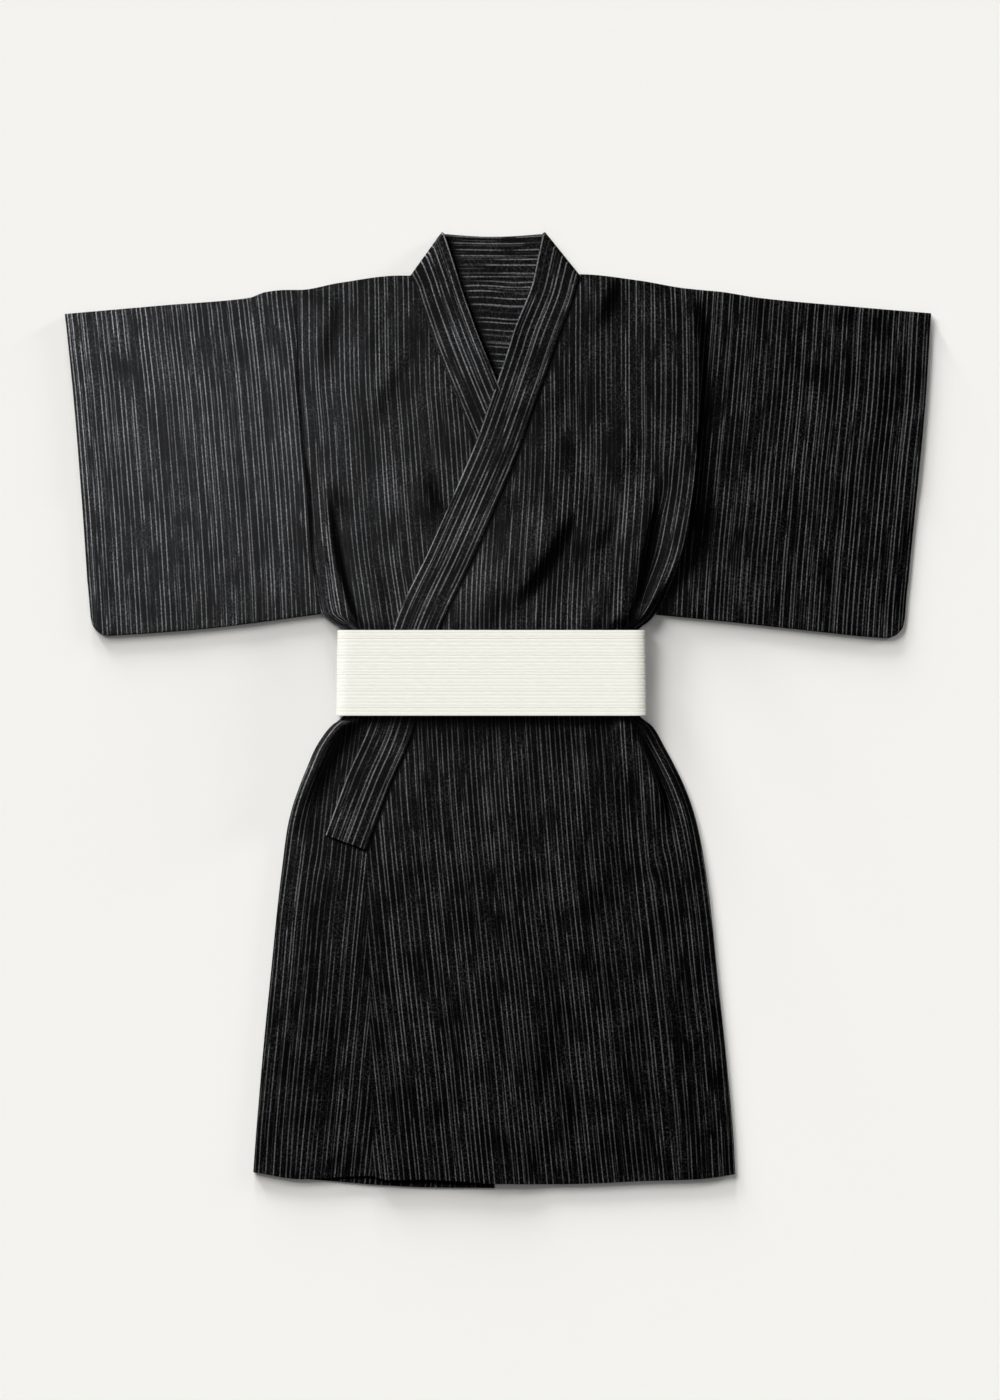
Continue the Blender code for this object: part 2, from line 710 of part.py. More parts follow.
def sash_profile(inset):
    """Half-way points round the sash, seen from its end: the lower run, then the left end and the upper run."""
    right = SASH_RIGHT_END + inset
    left = SASH_LEFT_END - inset
    low = inset
    high = SASH_HEIGHT - inset
    under = SASH_UNDER_ROUND - inset
    upper = SASH_UPPER_ROUND - inset
    points = []

    def corner(cx, cz, radius, start, steps):
        for step in range(steps + 1):
            angle = math.radians(start + 90 * step / steps)
            points.append((cx + radius * math.cos(angle), cz + radius * math.sin(angle)))

    corner(left - under, low + under, under, -90, 2)
    corner(left - upper, high - upper, upper, 0, 3)
    for share in (0.25, 0.5, 0.75):
        points.append((blend(left - upper, right + upper, share), high))
    corner(right + upper, high - upper, upper, 90, 3)
    corner(right + under, low + under, under, 180, 2)
    return points


def sash():
    """A flattened ring: ribs round its outside, a plain inside and a plain underside that rests flat."""
    outer = sash_profile(0.0)
    inner = sash_profile(SASH_WALL)
    middle_x = (SASH_RIGHT_END + SASH_LEFT_END) / 2
    half_width = (SASH_LEFT_END - SASH_RIGHT_END) / 2
    rib_rows = 2 * SASH_RIBS + 1
    rows = []

    def flared(points, y, sunk):
        """One ring of the sash at y, a little wider at its lower edge."""
        flare = SASH_FLARE * (SASH_TOP - y) / (SASH_TOP - SASH_BOTTOM)
        row = []
        for x, z in points:
            on_side = (x - middle_x) / half_width
            depth = sunk * ramp(z, 2.0, 7.0)
            row.append((x + flare * on_side - depth * on_side**9, y, z - depth * ramp(z, 8.0, 19.0)))
        return row

    for i in range(rib_rows):
        y = blend(SASH_BOTTOM, SASH_TOP, i / (rib_rows - 1))
        rows.append(flared(outer, y, RIB_DEPTH if i % 2 == 0 else 0.0))
    for i in range(4):
        rows.append(flared(inner, blend(SASH_TOP, SASH_BOTTOM, i / 3), 0.0))
    count = len(outer)
    faces = []
    for i in range(len(rows)):
        k = (i + 1) % len(rows)
        for j in range(count):
            n = (j + 1) % count
            faces.append((i * count + j, i * count + n, k * count + n, k * count + j))
    points = [point for row in rows for point in row]
    return solid("sash", points, [face[::-1] for face in faces], "sash_cotton")


for old in list(bpy.data.objects):
    bpy.data.objects.remove(old)
garment = bpy.data.collections.new("kimono")
bpy.context.scene.collection.children.link(garment)

for wearer_side in ("right", "left"):
    body(wearer_side)
    overlap(wearer_side)
    sleeve(wearer_side)
    yoke_lining(wearer_side)
collar()
sash()
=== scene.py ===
"""The look of a short striped kimono laid flat, closed left over right, with its white sash.

+X runs to the right of the laid-out garment, +Y from the hem to the collar and +Z up from the table.
Right and left in names are the wearer's, so the wearer's right side lies at -X.
Tables and sizes are in millimetres from the middle of the garment's outline.
"""

import math
from collections import namedtuple

import bmesh
import bpy
import numpy as np
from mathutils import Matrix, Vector


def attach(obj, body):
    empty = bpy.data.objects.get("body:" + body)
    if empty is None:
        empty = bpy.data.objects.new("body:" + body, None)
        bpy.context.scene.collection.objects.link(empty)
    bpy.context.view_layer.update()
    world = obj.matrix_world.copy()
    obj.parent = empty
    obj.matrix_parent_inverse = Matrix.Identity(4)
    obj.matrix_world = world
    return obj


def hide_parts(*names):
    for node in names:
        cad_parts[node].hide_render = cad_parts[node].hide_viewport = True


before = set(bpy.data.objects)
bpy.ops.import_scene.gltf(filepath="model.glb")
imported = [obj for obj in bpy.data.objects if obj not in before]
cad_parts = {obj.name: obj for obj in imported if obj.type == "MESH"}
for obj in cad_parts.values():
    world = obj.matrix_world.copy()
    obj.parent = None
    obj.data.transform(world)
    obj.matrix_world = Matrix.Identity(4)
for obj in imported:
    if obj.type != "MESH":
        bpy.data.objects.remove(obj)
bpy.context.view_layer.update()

MM = 0.001

# Walls and the air between them; a wall here is a little thinner than the solid it stands for
CLOTH = 1.5
COLLAR_WALL = 3.0
LINING_WALL = 1.0
SASH_WALL = 2.5
SHOWN_CLOTH = 1.2
SHOWN_COLLAR = 2.8
SEAM = 0.3
PLY = 0.45
LAID_GAP = 1.6

# Folds along the shoulder and the collar's turn at the neck
SHOULDER_RADIUS = 2.6
COLLAR_TURN = 3.6
ARC_STEPS = 8

# Sash
SASH_TOP = 121.0
SASH_BOTTOM = -9.0
SHOWN_BOTTOM = -7.0
SASH_RIBS = 26
SASH_HEIGHT = 22.5
SASH_UNDER_ROUND = 6.0
SASH_UPPER_ROUND = 11.0
SASH_FLARE = 2.0
SASH_RIGHT_END = -240.5
SASH_LEFT_END = 220.5

# Gathers of the back under the sash
GATHER_HEIGHT = 7.0
GATHERS_PER_SIDE = 3

# Collar and yoke
COLLAR_WIDTH = 65.0
COLLAR_END = -208.0
OUTER_COLLAR_LIFT = 0.9
CENTRE = -5.0
NECK_SEAM = 645.8
YOKE_BOTTOM = 462.0
OVERLAP_POINT = 384.0

# Sleeve
CORNER_RADIUS = 30.0
CUFF_OPENING = 270.0
SLEEVE_FOOT = 147.0
ROUNDED_FROM = 0.8

# Rows of the shoulder, the hem and the first ones below the shoulder fold, and the ends of the neck slit
SHOULDER_ROW = 640.0
HEM_ROW = -700.0
FRONT_ROW = 622.0
BACK_ROW = 604.0
NECK_SLIT = {"right": -131.0, "left": 122.0}

# Spacing of the shown cloth's rows
FRONT_STEP = 5.0
BACK_STEP = 9.0

Side = namedtuple("Side", "y right left")
Line = namedtuple("Line", "y x")
Rim = namedtuple("Rim", "x y")
Fold = namedtuple("Fold", "half_width height grow fade foot path")
Pucker = namedtuple("Pucker", "x reach half_width height lean")
Crease = namedtuple("Crease", "rise fall height grow fade path")


def lines(*pairs):
    """A path or edge that runs up or down the garment."""
    return [Line(*pair) for pair in pairs]


def rims(*pairs):
    """An edge that runs across the garment."""
    return [Rim(*pair) for pair in pairs]


def fold(half_width, height, grow, fade, foot, *path):
    return Fold(half_width, height, grow, fade, foot, lines(*path))


def swell(half_width, height, *path):
    return fold(half_width, height, 0.5, 0.5, 0.0, *path)


def crease(rise, fall, height, grow, fade, *path):
    return Crease(rise, fall, height, grow, fade, lines(*path))


# Side of the body: the sleeve seam down to SLEEVE_FOOT, then the side seam
SIDES = [Side(*row) for row in (
    (640, -302, 298), (571, -302, 300), (497, -299, 301), (422, -293, 299), (346, -288, 293), (291, -284, 285),
    (242, -280, 276), (190, -274, 258), (147, -266, 237), (134, -251, 226), (120, -231, 209), (57, -230, 209),
    (-8, -232, 213), (-22, -250, 231), (-56, -274, 251), (-86, -287, 267), (-116, -299, 281),
    (-146, -309, 292), (-176, -316, 300), (-236, -324, 311), (-296, -331, 319), (-386, -340, 328),
    (-506, -352, 341), (-626, -362, 352), (-700, -367, 356),
)]

# Shoulder line, from the right cuff to the left cuff
SHOULDER = rims(
    (-649, 595.5), (-500, 608.5), (-373, 619.5), (-350, 628), (-318, 631.5), (-298, 631.5), (-238, 642),
    (-148, 653), (-131, 653), (122, 655), (212, 645.5), (272, 635), (298, 632), (335, 628.5), (392, 619.5),
    (542, 605.5), (649, 596.5)
)

# Cuff edges
CUFF_RIGHT = lines((595, -649), (466, -636), (316, -624), (166, -614), (112, -611))
CUFF_LEFT = lines((597, 649), (466, 641), (316, 627), (166, 613), (109, 610))
SLEEVE_FOOT_RIGHT = rims((-611, 111), (-582, 112.5), (-450, 122), (-266, 145))
SLEEVE_FOOT_LEFT = rims((237, 144), (330, 135), (450, 122), (574, 109.5), (610, 108))

# Hems, from the right side to the left side; the right back hangs a little lower than the rest
HEM_UNDER = rims((-367, -691.5), (-294, -702), (-231, -698), (-198, -697), (0, -699))
HEM_OVER = rims(
    (-187, -697), (-164, -703), (-118, -702), (-55, -705), (-2, -709), (92, -709.5), (152, -708), (212, -705),
    (302, -702), (356, -694.5)
)
HEM_BACK_RIGHT = rims((-367, -691), (-313, -699.5), (-238, -706), (-178, -711), (-103, -714.5), (0, -715.5))
HEM_BACK_LEFT = rims((-5, -704), (178, -701), (356, -692))

# Collar seams: the right front's runs under the left front from the crossing down
COLLAR_SEAM_RIGHT = lines(
    (653, -131), (617, -121), (557, -100), (501, -76), (450, -54), (384, -25), (316, 5), (227, 38), (121, 62),
    (-9, 70), (-208, 53)
)
COLLAR_SEAM_LEFT = lines(
    (654, 121), (621, 117), (546, 88), (449, 52), (384, 29), (316, 1), (227, -38), (122, -87), (57, -106),
    (-24, -125), (-116, -163), (-208, -197)
)

# Seams between each body length and its overlap, and the overlaps' free edges below the collar
OVERLAP_SEAM_RIGHT = lines((384, -25), (227, -37), (121, -43), (-9, -46), (-208, -88), (-700, -140))
OVERLAP_SEAM_LEFT = lines((384, 29), (227, 10), (121, -1), (-9, -5), (-208, -7), (-700, 17))
OVERLAP_EDGE_RIGHT = lines((-208, 53), (-700, -2))
OVERLAP_EDGE_LEFT = lines((-208, -197), (-450, -192), (-700, -187))

# Largest folds of the fronts, raised in every layer above the back. A path runs from the top of the
# fold to its bottom; grow and fade are the shares of it over which the fold rises and sinks, and foot
# is the share of its height that is left at the bottom end.
FOLDS_RIGHT = [
    fold(13, 0.8, 0.2, 0.5, 0.0, (612, -313), (422, -304), (290, -295), (180, -286)),
    fold(9, 2.4, 0.4, 0.2, 0.5, (355, -284), (291, -279), (235, -272), (195, -261), (154, -247), (118, -221)),
    fold(12, 2.6, 0.4, 0.2, 0.4, (335, -267), (291, -262), (243, -252), (195, -239), (150, -225), (118, -207)),
    fold(26, 1.2, 0.5, 0.2, 0.5, (320, -224), (243, -207), (180, -191), (118, -176)),
    fold(
        9, 0.6, 0.1, 0.5, 0.0,
        (-6, -222), (-22, -240), (-56, -265), (-86, -278), (-116, -290), (-176, -307), (-235, -316)
    ),
    fold(20, 0.5, 0.2, 0.6, 0.0, (-6, -194), (-60, -226), (-120, -258), (-185, -272)),
]
FOLDS_LEFT = [
    fold(
        25, 1.2, 0.12, 0.2, 0.3,
        (630, 293), (497, 296), (422, 294), (346, 288), (291, 280), (242, 270), (190, 252), (147, 230),
        (118, 200)
    ),
    fold(30, 1.4, 0.5, 0.2, 0.5, (335, 190), (243, 184), (190, 170), (118, 146)),
    fold(
        11, 4.0, 0.1, 0.5, 0.0,
        (-6, 202), (-22, 221), (-56, 241), (-86, 256), (-116, 269), (-146, 280), (-210, 296)
    ),
    fold(24, 1.6, 0.2, 0.6, 0.0, (-6, 168), (-60, 202), (-120, 227), (-185, 244)),
]

# Soft swells of one front alone
SWELLS_RIGHT = [
    swell(30, 0.5, (632, -258), (500, -285)),
    swell(34, 0.5, (545, -150), (440, -220)),
]
SWELLS_LEFT = [
    fold(40, 1.0, 0.45, 0.5, 0.0, (320, 112), (215, 50), (128, 6)),
    swell(36, 0.5, (638, 178), (510, 108)),
    swell(34, 0.4, (530, 104), (425, 68)),
]

# Small puckers of the fronts where the sash pulls them in: above it, then below it
PUCKERS_ABOVE = [Pucker(*row) for row in (
    (-196, 46, 8, 1.5, -0.1), (-152, 30, 6, 0.9, 0.0), (-66, 38, 7, 1.1, 0.12), (-38, 62, 9, 1.5, 0.05),
    (8, 40, 7, 1.2, 0.1), (52, 74, 10, 1.8, 0.3), (84, 36, 7, 1.0, 0.1), (120, 58, 9, 1.7, 0.35),
    (166, 70, 9, 1.9, 0.45), (186, 44, 6, 1.2, 0.5),
)]
PUCKERS_BELOW = [Pucker(*row) for row in (
    (-88, 34, 8, 1.0, 0.0), (-52, 52, 9, 1.5, 0.0), (-18, 30, 7, 1.0, 0.05), (14, 46, 8, 1.5, 0.0),
    (46, 28, 7, 1.0, -0.05), (78, 56, 9, 1.6, 0.0), (108, 32, 7, 1.1, -0.1), (138, 48, 8, 1.6, -0.15),
    (164, 36, 7, 1.3, -0.3), (190, 60, 8, 1.7, -0.55),
)]

# Slow unevenness of cloth that was laid down by hand: the fronts, then the sleeves
DRIFTS = [
    swell(60, 1.1, (-130, -300), (-420, -318)),
    swell(70, 1.2, (-210, -250), (-560, -268)),
    swell(46, 0.9, (-90, 20), (-380, 62)),
    swell(70, 1.3, (-240, 130), (-640, 180)),
    swell(56, 1.0, (-150, 236), (-520, 282)),
    swell(60, 1.0, (-330, -80), (-680, -70)),
    swell(50, 1.2, (560, -250), (330, -215)),
    swell(40, 1.0, (430, 180), (280, 160)),
    swell(44, 1.1, (600, 240), (380, 236)),
]
SLEEVE_DRIFTS = [
    swell(70, 1.1, (610, -560), (330, -540)),
    swell(60, 1.2, (480, -430), (180, -420)),
    fold(34, 0.8, 0.5, 0.3, 0.3, (330, -480), (112, -486)),
    fold(38, 0.9, 0.5, 0.3, 0.3, (260, -372), (118, -368)),
    swell(70, 1.2, (600, 540), (300, 520)),
    swell(60, 1.1, (430, 400), (170, 392)),
    fold(36, 0.9, 0.5, 0.3, 0.3, (300, 470), (118, 476)),
    fold(30, 0.7, 0.5, 0.3, 0.3, (240, 560), (112, 556)),
]

# Creases with a long rise on one side and a short fall on the other, as cloth that is pushed aside makes.
# The crest runs along the path; the first two lists belong to the sides and their sleeves.
CREASES_RIGHT = [
    crease(60, 6, 2.6, 0.2, 0.2, (628, -305), (497, -302), (422, -296), (346, -290), (200, -276)),
    crease(40, 24, 4.0, 0.3, 0.4, (640, -252), (570, -262), (490, -278)),
    crease(14, 8, 4.4, 0.3, 0.15, (400, -297), (327, -286), (252, -283), (181, -271), (132, -246), (118, -238)),
    crease(
        34, 11, 7.4, 0.35, 0.12,
        (345, -262), (300, -255), (243, -246), (195, -236), (150, -221), (118, -205)
    ),
    crease(
        18, 40, 14.0, 0.06, 0.5,
        (-8, -222), (-22, -241), (-56, -265), (-86, -279), (-116, -291), (-186, -309)
    ),
]
CREASES_LEFT = [
    crease(
        150, 14, 8.4, 0.12, 0.3,
        (640, 292), (571, 297), (497, 300), (422, 298), (346, 292), (291, 282), (200, 262)
    ),
    crease(12, 34, 6.6, 0.5, 0.3, (420, 302), (331, 296), (276, 286), (237, 276), (170, 244)),
    crease(36, 15, 6.6, 0.4, 0.12, (362, 290), (300, 282), (252, 273), (190, 251), (147, 227), (118, 200)),
    crease(36, 14, 7.8, 0.08, 0.5, (-8, 190), (-30, 202), (-60, 216), (-120, 239), (-200, 260)),
    crease(10, 8, 2.6, 0.1, 0.5, (-8, 206), (-30, 231), (-60, 249), (-120, 276), (-200, 299)),
]
CREASES = [
    crease(90, 30, 4.8, 0.4, 0.4, (550, -146), (519, -158), (466, -186), (415, -200)),
    crease(60, 24, 2.4, 0.5, 0.5, (620, -186), (560, -196), (500, -206)),
    crease(44, 26, 5.0, 0.5, 0.4, (362, -258), (320, -252), (285, -244)),
    crease(90, 32, 8.0, 0.45, 0.5, (376, -126), (330, -114), (258, -94)),
    crease(60, 22, 2.6, 0.5, 0.1, (240, -196), (180, -182), (118, -168)),
    crease(14, 7, 2.8, 0.2, 0.5, (652, -146), (636, -143), (612, -139)),
    crease(80, 26, 6.6, 0.3, 0.4, (650, 170), (600, 153), (556, 137)),
    crease(60, 26, 2.6, 0.5, 0.5, (536, 100), (500, 92), (440, 70)),
    crease(80, 30, 4.6, 0.5, 0.5, (446, 206), (396, 190), (336, 160)),
    crease(80, 26, 4.6, 0.5, 0.5, (316, 176), (270, 152), (222, 130)),
    crease(70, 26, 4.0, 0.5, 0.4, (246, 12), (190, -4), (122, -20)),
    crease(100, 32, 9.8, 0.25, 0.4, (318, 104), (268, 84), (220, 56), (170, 22), (126, 0)),
    crease(60, 18, 9.0, 0.4, 0.1, (366, 236), (331, 232), (250, 216), (174, 202), (118, 178)),
    crease(50, 20, 3.4, 0.45, 0.3, (236, 168), (180, 156), (118, 138)),
    crease(70, 34, 3.2, 0.5, 0.5, (-40, -110), (-200, -128), (-330, -120)),
    crease(80, 34, 3.2, 0.5, 0.5, (-120, 96), (-300, 120), (-470, 140)),
    crease(80, 34, 2.8, 0.5, 0.5, (-350, 20), (-520, 40), (-640, 44)),
    crease(80, 30, 3.0, 0.5, 0.5, (-220, 214), (-400, 250), (-560, 262)),
    crease(50, 26, 2.4, 0.5, 0.5, (-360, -262), (-520, -280), (-640, -288)),
    crease(60, 30, 2.4, 0.5, 0.5, (-60, 40), (-150, 20), (-240, 24)),
    crease(60, 26, 2.4, 0.5, 0.5, (-420, -90), (-520, -110), (-640, -104)),
]

# Where the stripes of a body length run: parallel to these straight lines away from the sides
GRAIN_RIGHT = lines(
    (640, -302), (497, -299), (422, -293), (346, -288), (242, -280), (147, -266), (121, -262), (-9, -294),
    (-700, -367)
)
GRAIN_LEFT = lines((640, 298), (420, 299), (121, 286), (-9, 290), (-700, 356))

# How far in from the side the cloth drawn in at the waist is folded away
TUCK_RIGHT = lines((400, 60), (330, 42), (291, 40), (121, 26), (-10, 14), (-60, 30), (-165, 30), (-260, 70))
TUCK_LEFT = lines(
    (400, 70), (331, 40), (276, 54), (177, 42), (121, 21), (-10, 16), (-60, 34), (-165, 40), (-260, 90)
)

# Where each piece's stripes start across the pattern, so that no two pieces show the same ones
CLOTH_START = {"right": 0.0, "left": 3000.0}
OVERLAP_START = 1500
SLEEVE_START = 6000
COLLAR_START = 9000
YOKE_START = 12000
COLLAR_STRIPES = 0.86
YOKE_STRIPES = 0.8

# Columns across the pieces, NEAR_COLUMNS of them within NEAR_SIDE of the side seam
FRONT_COLUMNS = 64
NEAR_SIDE = 72
NEAR_COLUMNS = 22
BACK_EXTRA = 14
BAND_COLUMNS = 15

# Cloth colours and lights; a sun's share is of the light that level ground gets
GROUND = (0.0006, 0.0006, 0.0007)
GROUND_WORN = (0.0220, 0.0220, 0.0227)
STRIPE = (0.108, 0.108, 0.109)
IVORY = (0.91, 0.905, 0.835)
IVORY_SHADE = (0.79, 0.785, 0.71)
FLOOR = (0.905, 0.896, 0.863)
FLOOR_GRAIN = (0.86, 0.85, 0.82)
SOFT_WHITE = (0.95, 0.97, 1.0)
AMBIENT = 0.06
SKY = 0.10
CLOTH_SHARE = 0.76
SASH_SHARE = 1.02 - AMBIENT - SKY
SOFTBOX_WATTS = 43.0
OVERHEAD_WATTS = 8.3


def ramp(value, start, end):
    """0 at start, 1 at end, smooth between them."""
    share = np.clip((value - start) / (end - start), 0.0, 1.0)
    return share * share * (3 - 2 * share)


def blend(a, b, share):
    return a + (b - a) * share


def bump(distance, half_width):
    """1 at no distance, falling smoothly to 0 at the half width."""
    share = np.minimum(1.0, np.abs(distance) / half_width)
    return np.cos(share * math.pi / 2) ** 2


def smooth_line(pairs):
    """A function through (key, value) pairs that never overshoots them."""
    pairs = sorted(pairs)
    keys = np.array([p[0] for p in pairs], float)
    values = np.array([p[1] for p in pairs], float)
    steps = np.diff(values) / np.diff(keys)
    slopes = [steps[0]]
    for before, after in zip(steps, steps[1:]):
        slopes.append(2 * before * after / (before + after) if before * after > 0 else 0.0)
    slopes = np.array(slopes + [steps[-1]])

    def at(key):
        key = np.clip(key, keys[0], keys[-1])
        i = np.clip(np.searchsorted(keys, key, side="right") - 1, 0, len(keys) - 2)
        width = keys[i + 1] - keys[i]
        t = (key - keys[i]) / width
        low = values[i] * (1 + 2 * t) * (1 - t) ** 2 + slopes[i] * width * t * (1 - t) ** 2
        high = values[i + 1] * t * t * (3 - 2 * t) + slopes[i + 1] * width * t * t * (t - 1)
        return low + high

    return at


def across(points):
    """y as a function of x."""
    return smooth_line([(p.x, p.y) for p in points])


def along(points):
    """x as a function of y."""
    return smooth_line([(p.y, p.x) for p in points])


def with_paths(folds):
    return [(f, along(f.path)) for f in folds]


def on_sides(make, right, left):
    return {"right": make(right), "left": make(left)}


side_of = on_sides(smooth_line, [(s.y, s.right) for s in SIDES], [(s.y, s.left) for s in SIDES])
INWARD = {"right": 1, "left": -1}
collar_seam = on_sides(along, COLLAR_SEAM_RIGHT, COLLAR_SEAM_LEFT)
overlap_seam = on_sides(along, OVERLAP_SEAM_RIGHT, OVERLAP_SEAM_LEFT)
overlap_edge = on_sides(along, OVERLAP_EDGE_RIGHT, OVERLAP_EDGE_LEFT)
grain_line = on_sides(along, GRAIN_RIGHT, GRAIN_LEFT)
tuck_of = on_sides(along, TUCK_RIGHT, TUCK_LEFT)
folds_of = on_sides(with_paths, FOLDS_RIGHT, FOLDS_LEFT)
swells_of = on_sides(with_paths, SWELLS_RIGHT, SWELLS_LEFT)
drifts = with_paths(DRIFTS)
sleeve_drifts = with_paths(SLEEVE_DRIFTS)
creases_of = on_sides(with_paths, CREASES_RIGHT, CREASES_LEFT)
creases = with_paths(CREASES)
front_hem = on_sides(across, HEM_UNDER, HEM_OVER)
back_hem = on_sides(across, HEM_BACK_RIGHT, HEM_BACK_LEFT)
shoulder_line = across(SHOULDER)
cuff_of = on_sides(along, CUFF_RIGHT, CUFF_LEFT)
sleeve_foot = on_sides(across, SLEEVE_FOOT_RIGHT, SLEEVE_FOOT_LEFT)
band_share = np.concatenate([[0, 0.012, 0.028], np.linspace(0.06, 0.94, BAND_COLUMNS - 6), [0.972, 0.988, 1.0]])


def near_shoulder(x, y):
    """The y of a row's point once the rows near the shoulder follow its line."""
    return y + (shoulder_line(x) - SHOULDER_ROW) * ramp(y, 480, SHOULDER_ROW)


def row_height(x, y, hem):
    """The y of a row's point once the rows near the shoulder and the hem follow those edges."""
    return near_shoulder(x, y) + (hem(x) - HEM_ROW) * ramp(y, -560, HEM_ROW)


def back_rise(y):
    """How far the sash's lower run lifts the back off the table."""
    zone = ramp(y, SASH_TOP + 50, SASH_TOP + 6) * ramp(y, SASH_BOTTOM - 50, SASH_BOTTOM - 6)
    return (SASH_WALL + SEAM) * zone


def gather(y):
    """Share of the full gather height, 1 inside the sash."""
    return ramp(y, SASH_TOP + 90, SASH_TOP + 6) * ramp(y, SASH_BOTTOM - 11, SASH_BOTTOM + 8)


def depth_in(side, x, y):
    """Distance of a point in from the side seam."""
    return (x - side_of[side](y)) * INWARD[side]


def back_height(side, x, y):
    """Middle of the back's wall, with its gathers under the sash."""
    width = (CENTRE - side_of[side](y)) * INWARD[side]
    wave = 0.5 - 0.5 * np.cos(2 * math.pi * GATHERS_PER_SIDE * depth_in(side, x, y) / width)
    return back_rise(y) + GATHER_HEIGHT * gather(y) * wave + CLOTH / 2


def laid_gap(y):
    """Air under the front: most at the shoulder fold, least at the hem."""
    at_shoulder = 2 * SHOULDER_RADIUS - CLOTH - PLY
    gap = blend(LAID_GAP, at_shoulder, ramp(y, 560, 630))
    return gap * blend(0.2, 1.0, ramp(y, HEM_ROW, -450)) * (1 - 0.9 * gather(y))


def fold_height(folds, x, y):
    """Height that a table's folds add at a point."""
    total = 0.0 * x * y
    for f, path in folds:
        share = (f.path[0].y - y) / (f.path[0].y - f.path[-1].y)
        inside = (share >= 0) & (share <= 1)
        sunk = (1 - f.foot) * ramp(share, 1 - f.fade, 1)
        rise = f.height * ramp(share, 0, f.grow) * (1 - sunk) * bump(x - path(y), f.half_width)
        total = total + np.where(inside, rise, 0.0)
    return total


def crease_height(creases, x, y):
    """Height that a table's creases add at a point."""
    total = 0.0 * x * y
    for c, path in creases:
        share = (c.path[0].y - y) / (c.path[0].y - c.path[-1].y)
        away = x - path(y)
        shape = np.where(away < 0, bump(away, c.rise), bump(away, c.fall))
        length = ramp(share, 0, c.grow) * (1 - ramp(share, 1 - c.fade, 1))
        total = total + c.height * length * shape
    return total


def side_ridges(side, x, y):
    """The folds that a side and its sleeve share."""
    return fold_height(folds_of[side], x, y) + crease_height(creases_of[side], x, y)


def pucker_height(x, y):
    """Small ridges that run out of the sash's edges."""
    total = 0.0 * x * y
    for puckers, edge, way in ((PUCKERS_ABOVE, SASH_TOP, 1), (PUCKERS_BELOW, SASH_BOTTOM, -1)):
        out = (y - edge) * way
        inside = ramp(out, -14, 2)
        for p in puckers:
            line = p.x + p.lean * np.maximum(out, 0)
            spread = p.half_width * (1 + 0.5 * np.clip(out / p.reach, 0, 1))
            total = total + p.height * inside * (1 - ramp(out, 0, p.reach)) * bump(x - line, spread)
    return total


def side_floor(side, x, y):
    """Underside of the lowest front layer on one side, just clear of the back."""
    depth = depth_in(side, x, y)
    lowest = back_rise(y) + CLOTH + PLY
    risen = lowest + GATHER_HEIGHT * gather(y) * ramp(depth, -2, 30)
    edge_air = laid_gap(y) * blend(ramp(depth, -2, 26), 1.0, ramp(y, 150, 260))
    open_side = blend(ramp(depth, -1, 15), 1.0, ramp(y, 147, 190))
    inner = ramp(depth, 4, 30)
    extra = inner * (fold_height(drifts, x, y) + pucker_height(x, y) + crease_height(creases, x, y))
    return risen + edge_air + open_side * side_ridges(side, x, y) + extra


def front_floor(x, y):
    return np.where(x < CENTRE, side_floor("right", x, y), side_floor("left", x, y))


def under_edge(y):
    """x of the free edge of what lies under the left front: the right collar, then the right overlap."""
    collar_free = collar_seam["right"](y) + COLLAR_WIDTH * 1.1
    return blend(overlap_edge["right"](y), collar_free, ramp(y, COLLAR_END - 150, COLLAR_END - 6))


def over_floor(x, y):
    """Underside of the left front and its collar, on top of the right front where that lies below."""
    seam = collar_seam["right"](y)
    collar_share = ramp(x, seam - 74, seam - 26) * ramp(y, COLLAR_END - 150, COLLAR_END - 6)
    wall = blend(CLOTH, COLLAR_WALL, collar_share)
    edge = under_edge(y)
    return front_floor(x, y) + (wall + PLY) * ramp(x, edge + 84, edge + 34)


def front_height(side, x, y):
    """Middle of the wall of a body front or an overlap."""
    floor = front_floor(x, y) if side == "right" else over_floor(x, y)
    return floor + fold_height(swells_of[side], x, y) + CLOTH / 2


def seam_dip(distance, depth, width=3.5):
    """Cloth is drawn down a little towards a sewn edge."""
    return -depth * np.exp(-((distance / width) ** 2))


def spots(x, y, z, out, u, v):
    """One row of cloth: where each spot is, which way is out, and its place on the flat cloth."""
    n = len(x)
    out = np.broadcast_to(np.array(out, float).reshape(-1, 3), (n, 3))
    y, z, u, v = (np.broadcast_to(value, n) for value in (y, z, u, v))
    return np.column_stack([x, y, z, *out.T, u, v])


UP = (0, 0, 1)
DOWN = (0, 0, -1)


def cloth_object(name, points, faces, uv, material):
    """A smooth mesh with its place on the flat cloth at every corner of its faces."""
    mesh = bpy.data.meshes.new(name)
    mesh.from_pydata((points * MM).tolist(), [], faces)
    layer = mesh.uv_layers.new(name="cloth")
    layer.data.foreach_set("uv", (uv * MM).astype(np.float32).ravel())
    mesh.polygons.foreach_set("use_smooth", np.ones(len(faces), bool))
    mesh.materials.append(material)
    made = bpy.data.objects.new(name, mesh)
    bpy.context.collection.objects.link(made)
    return made


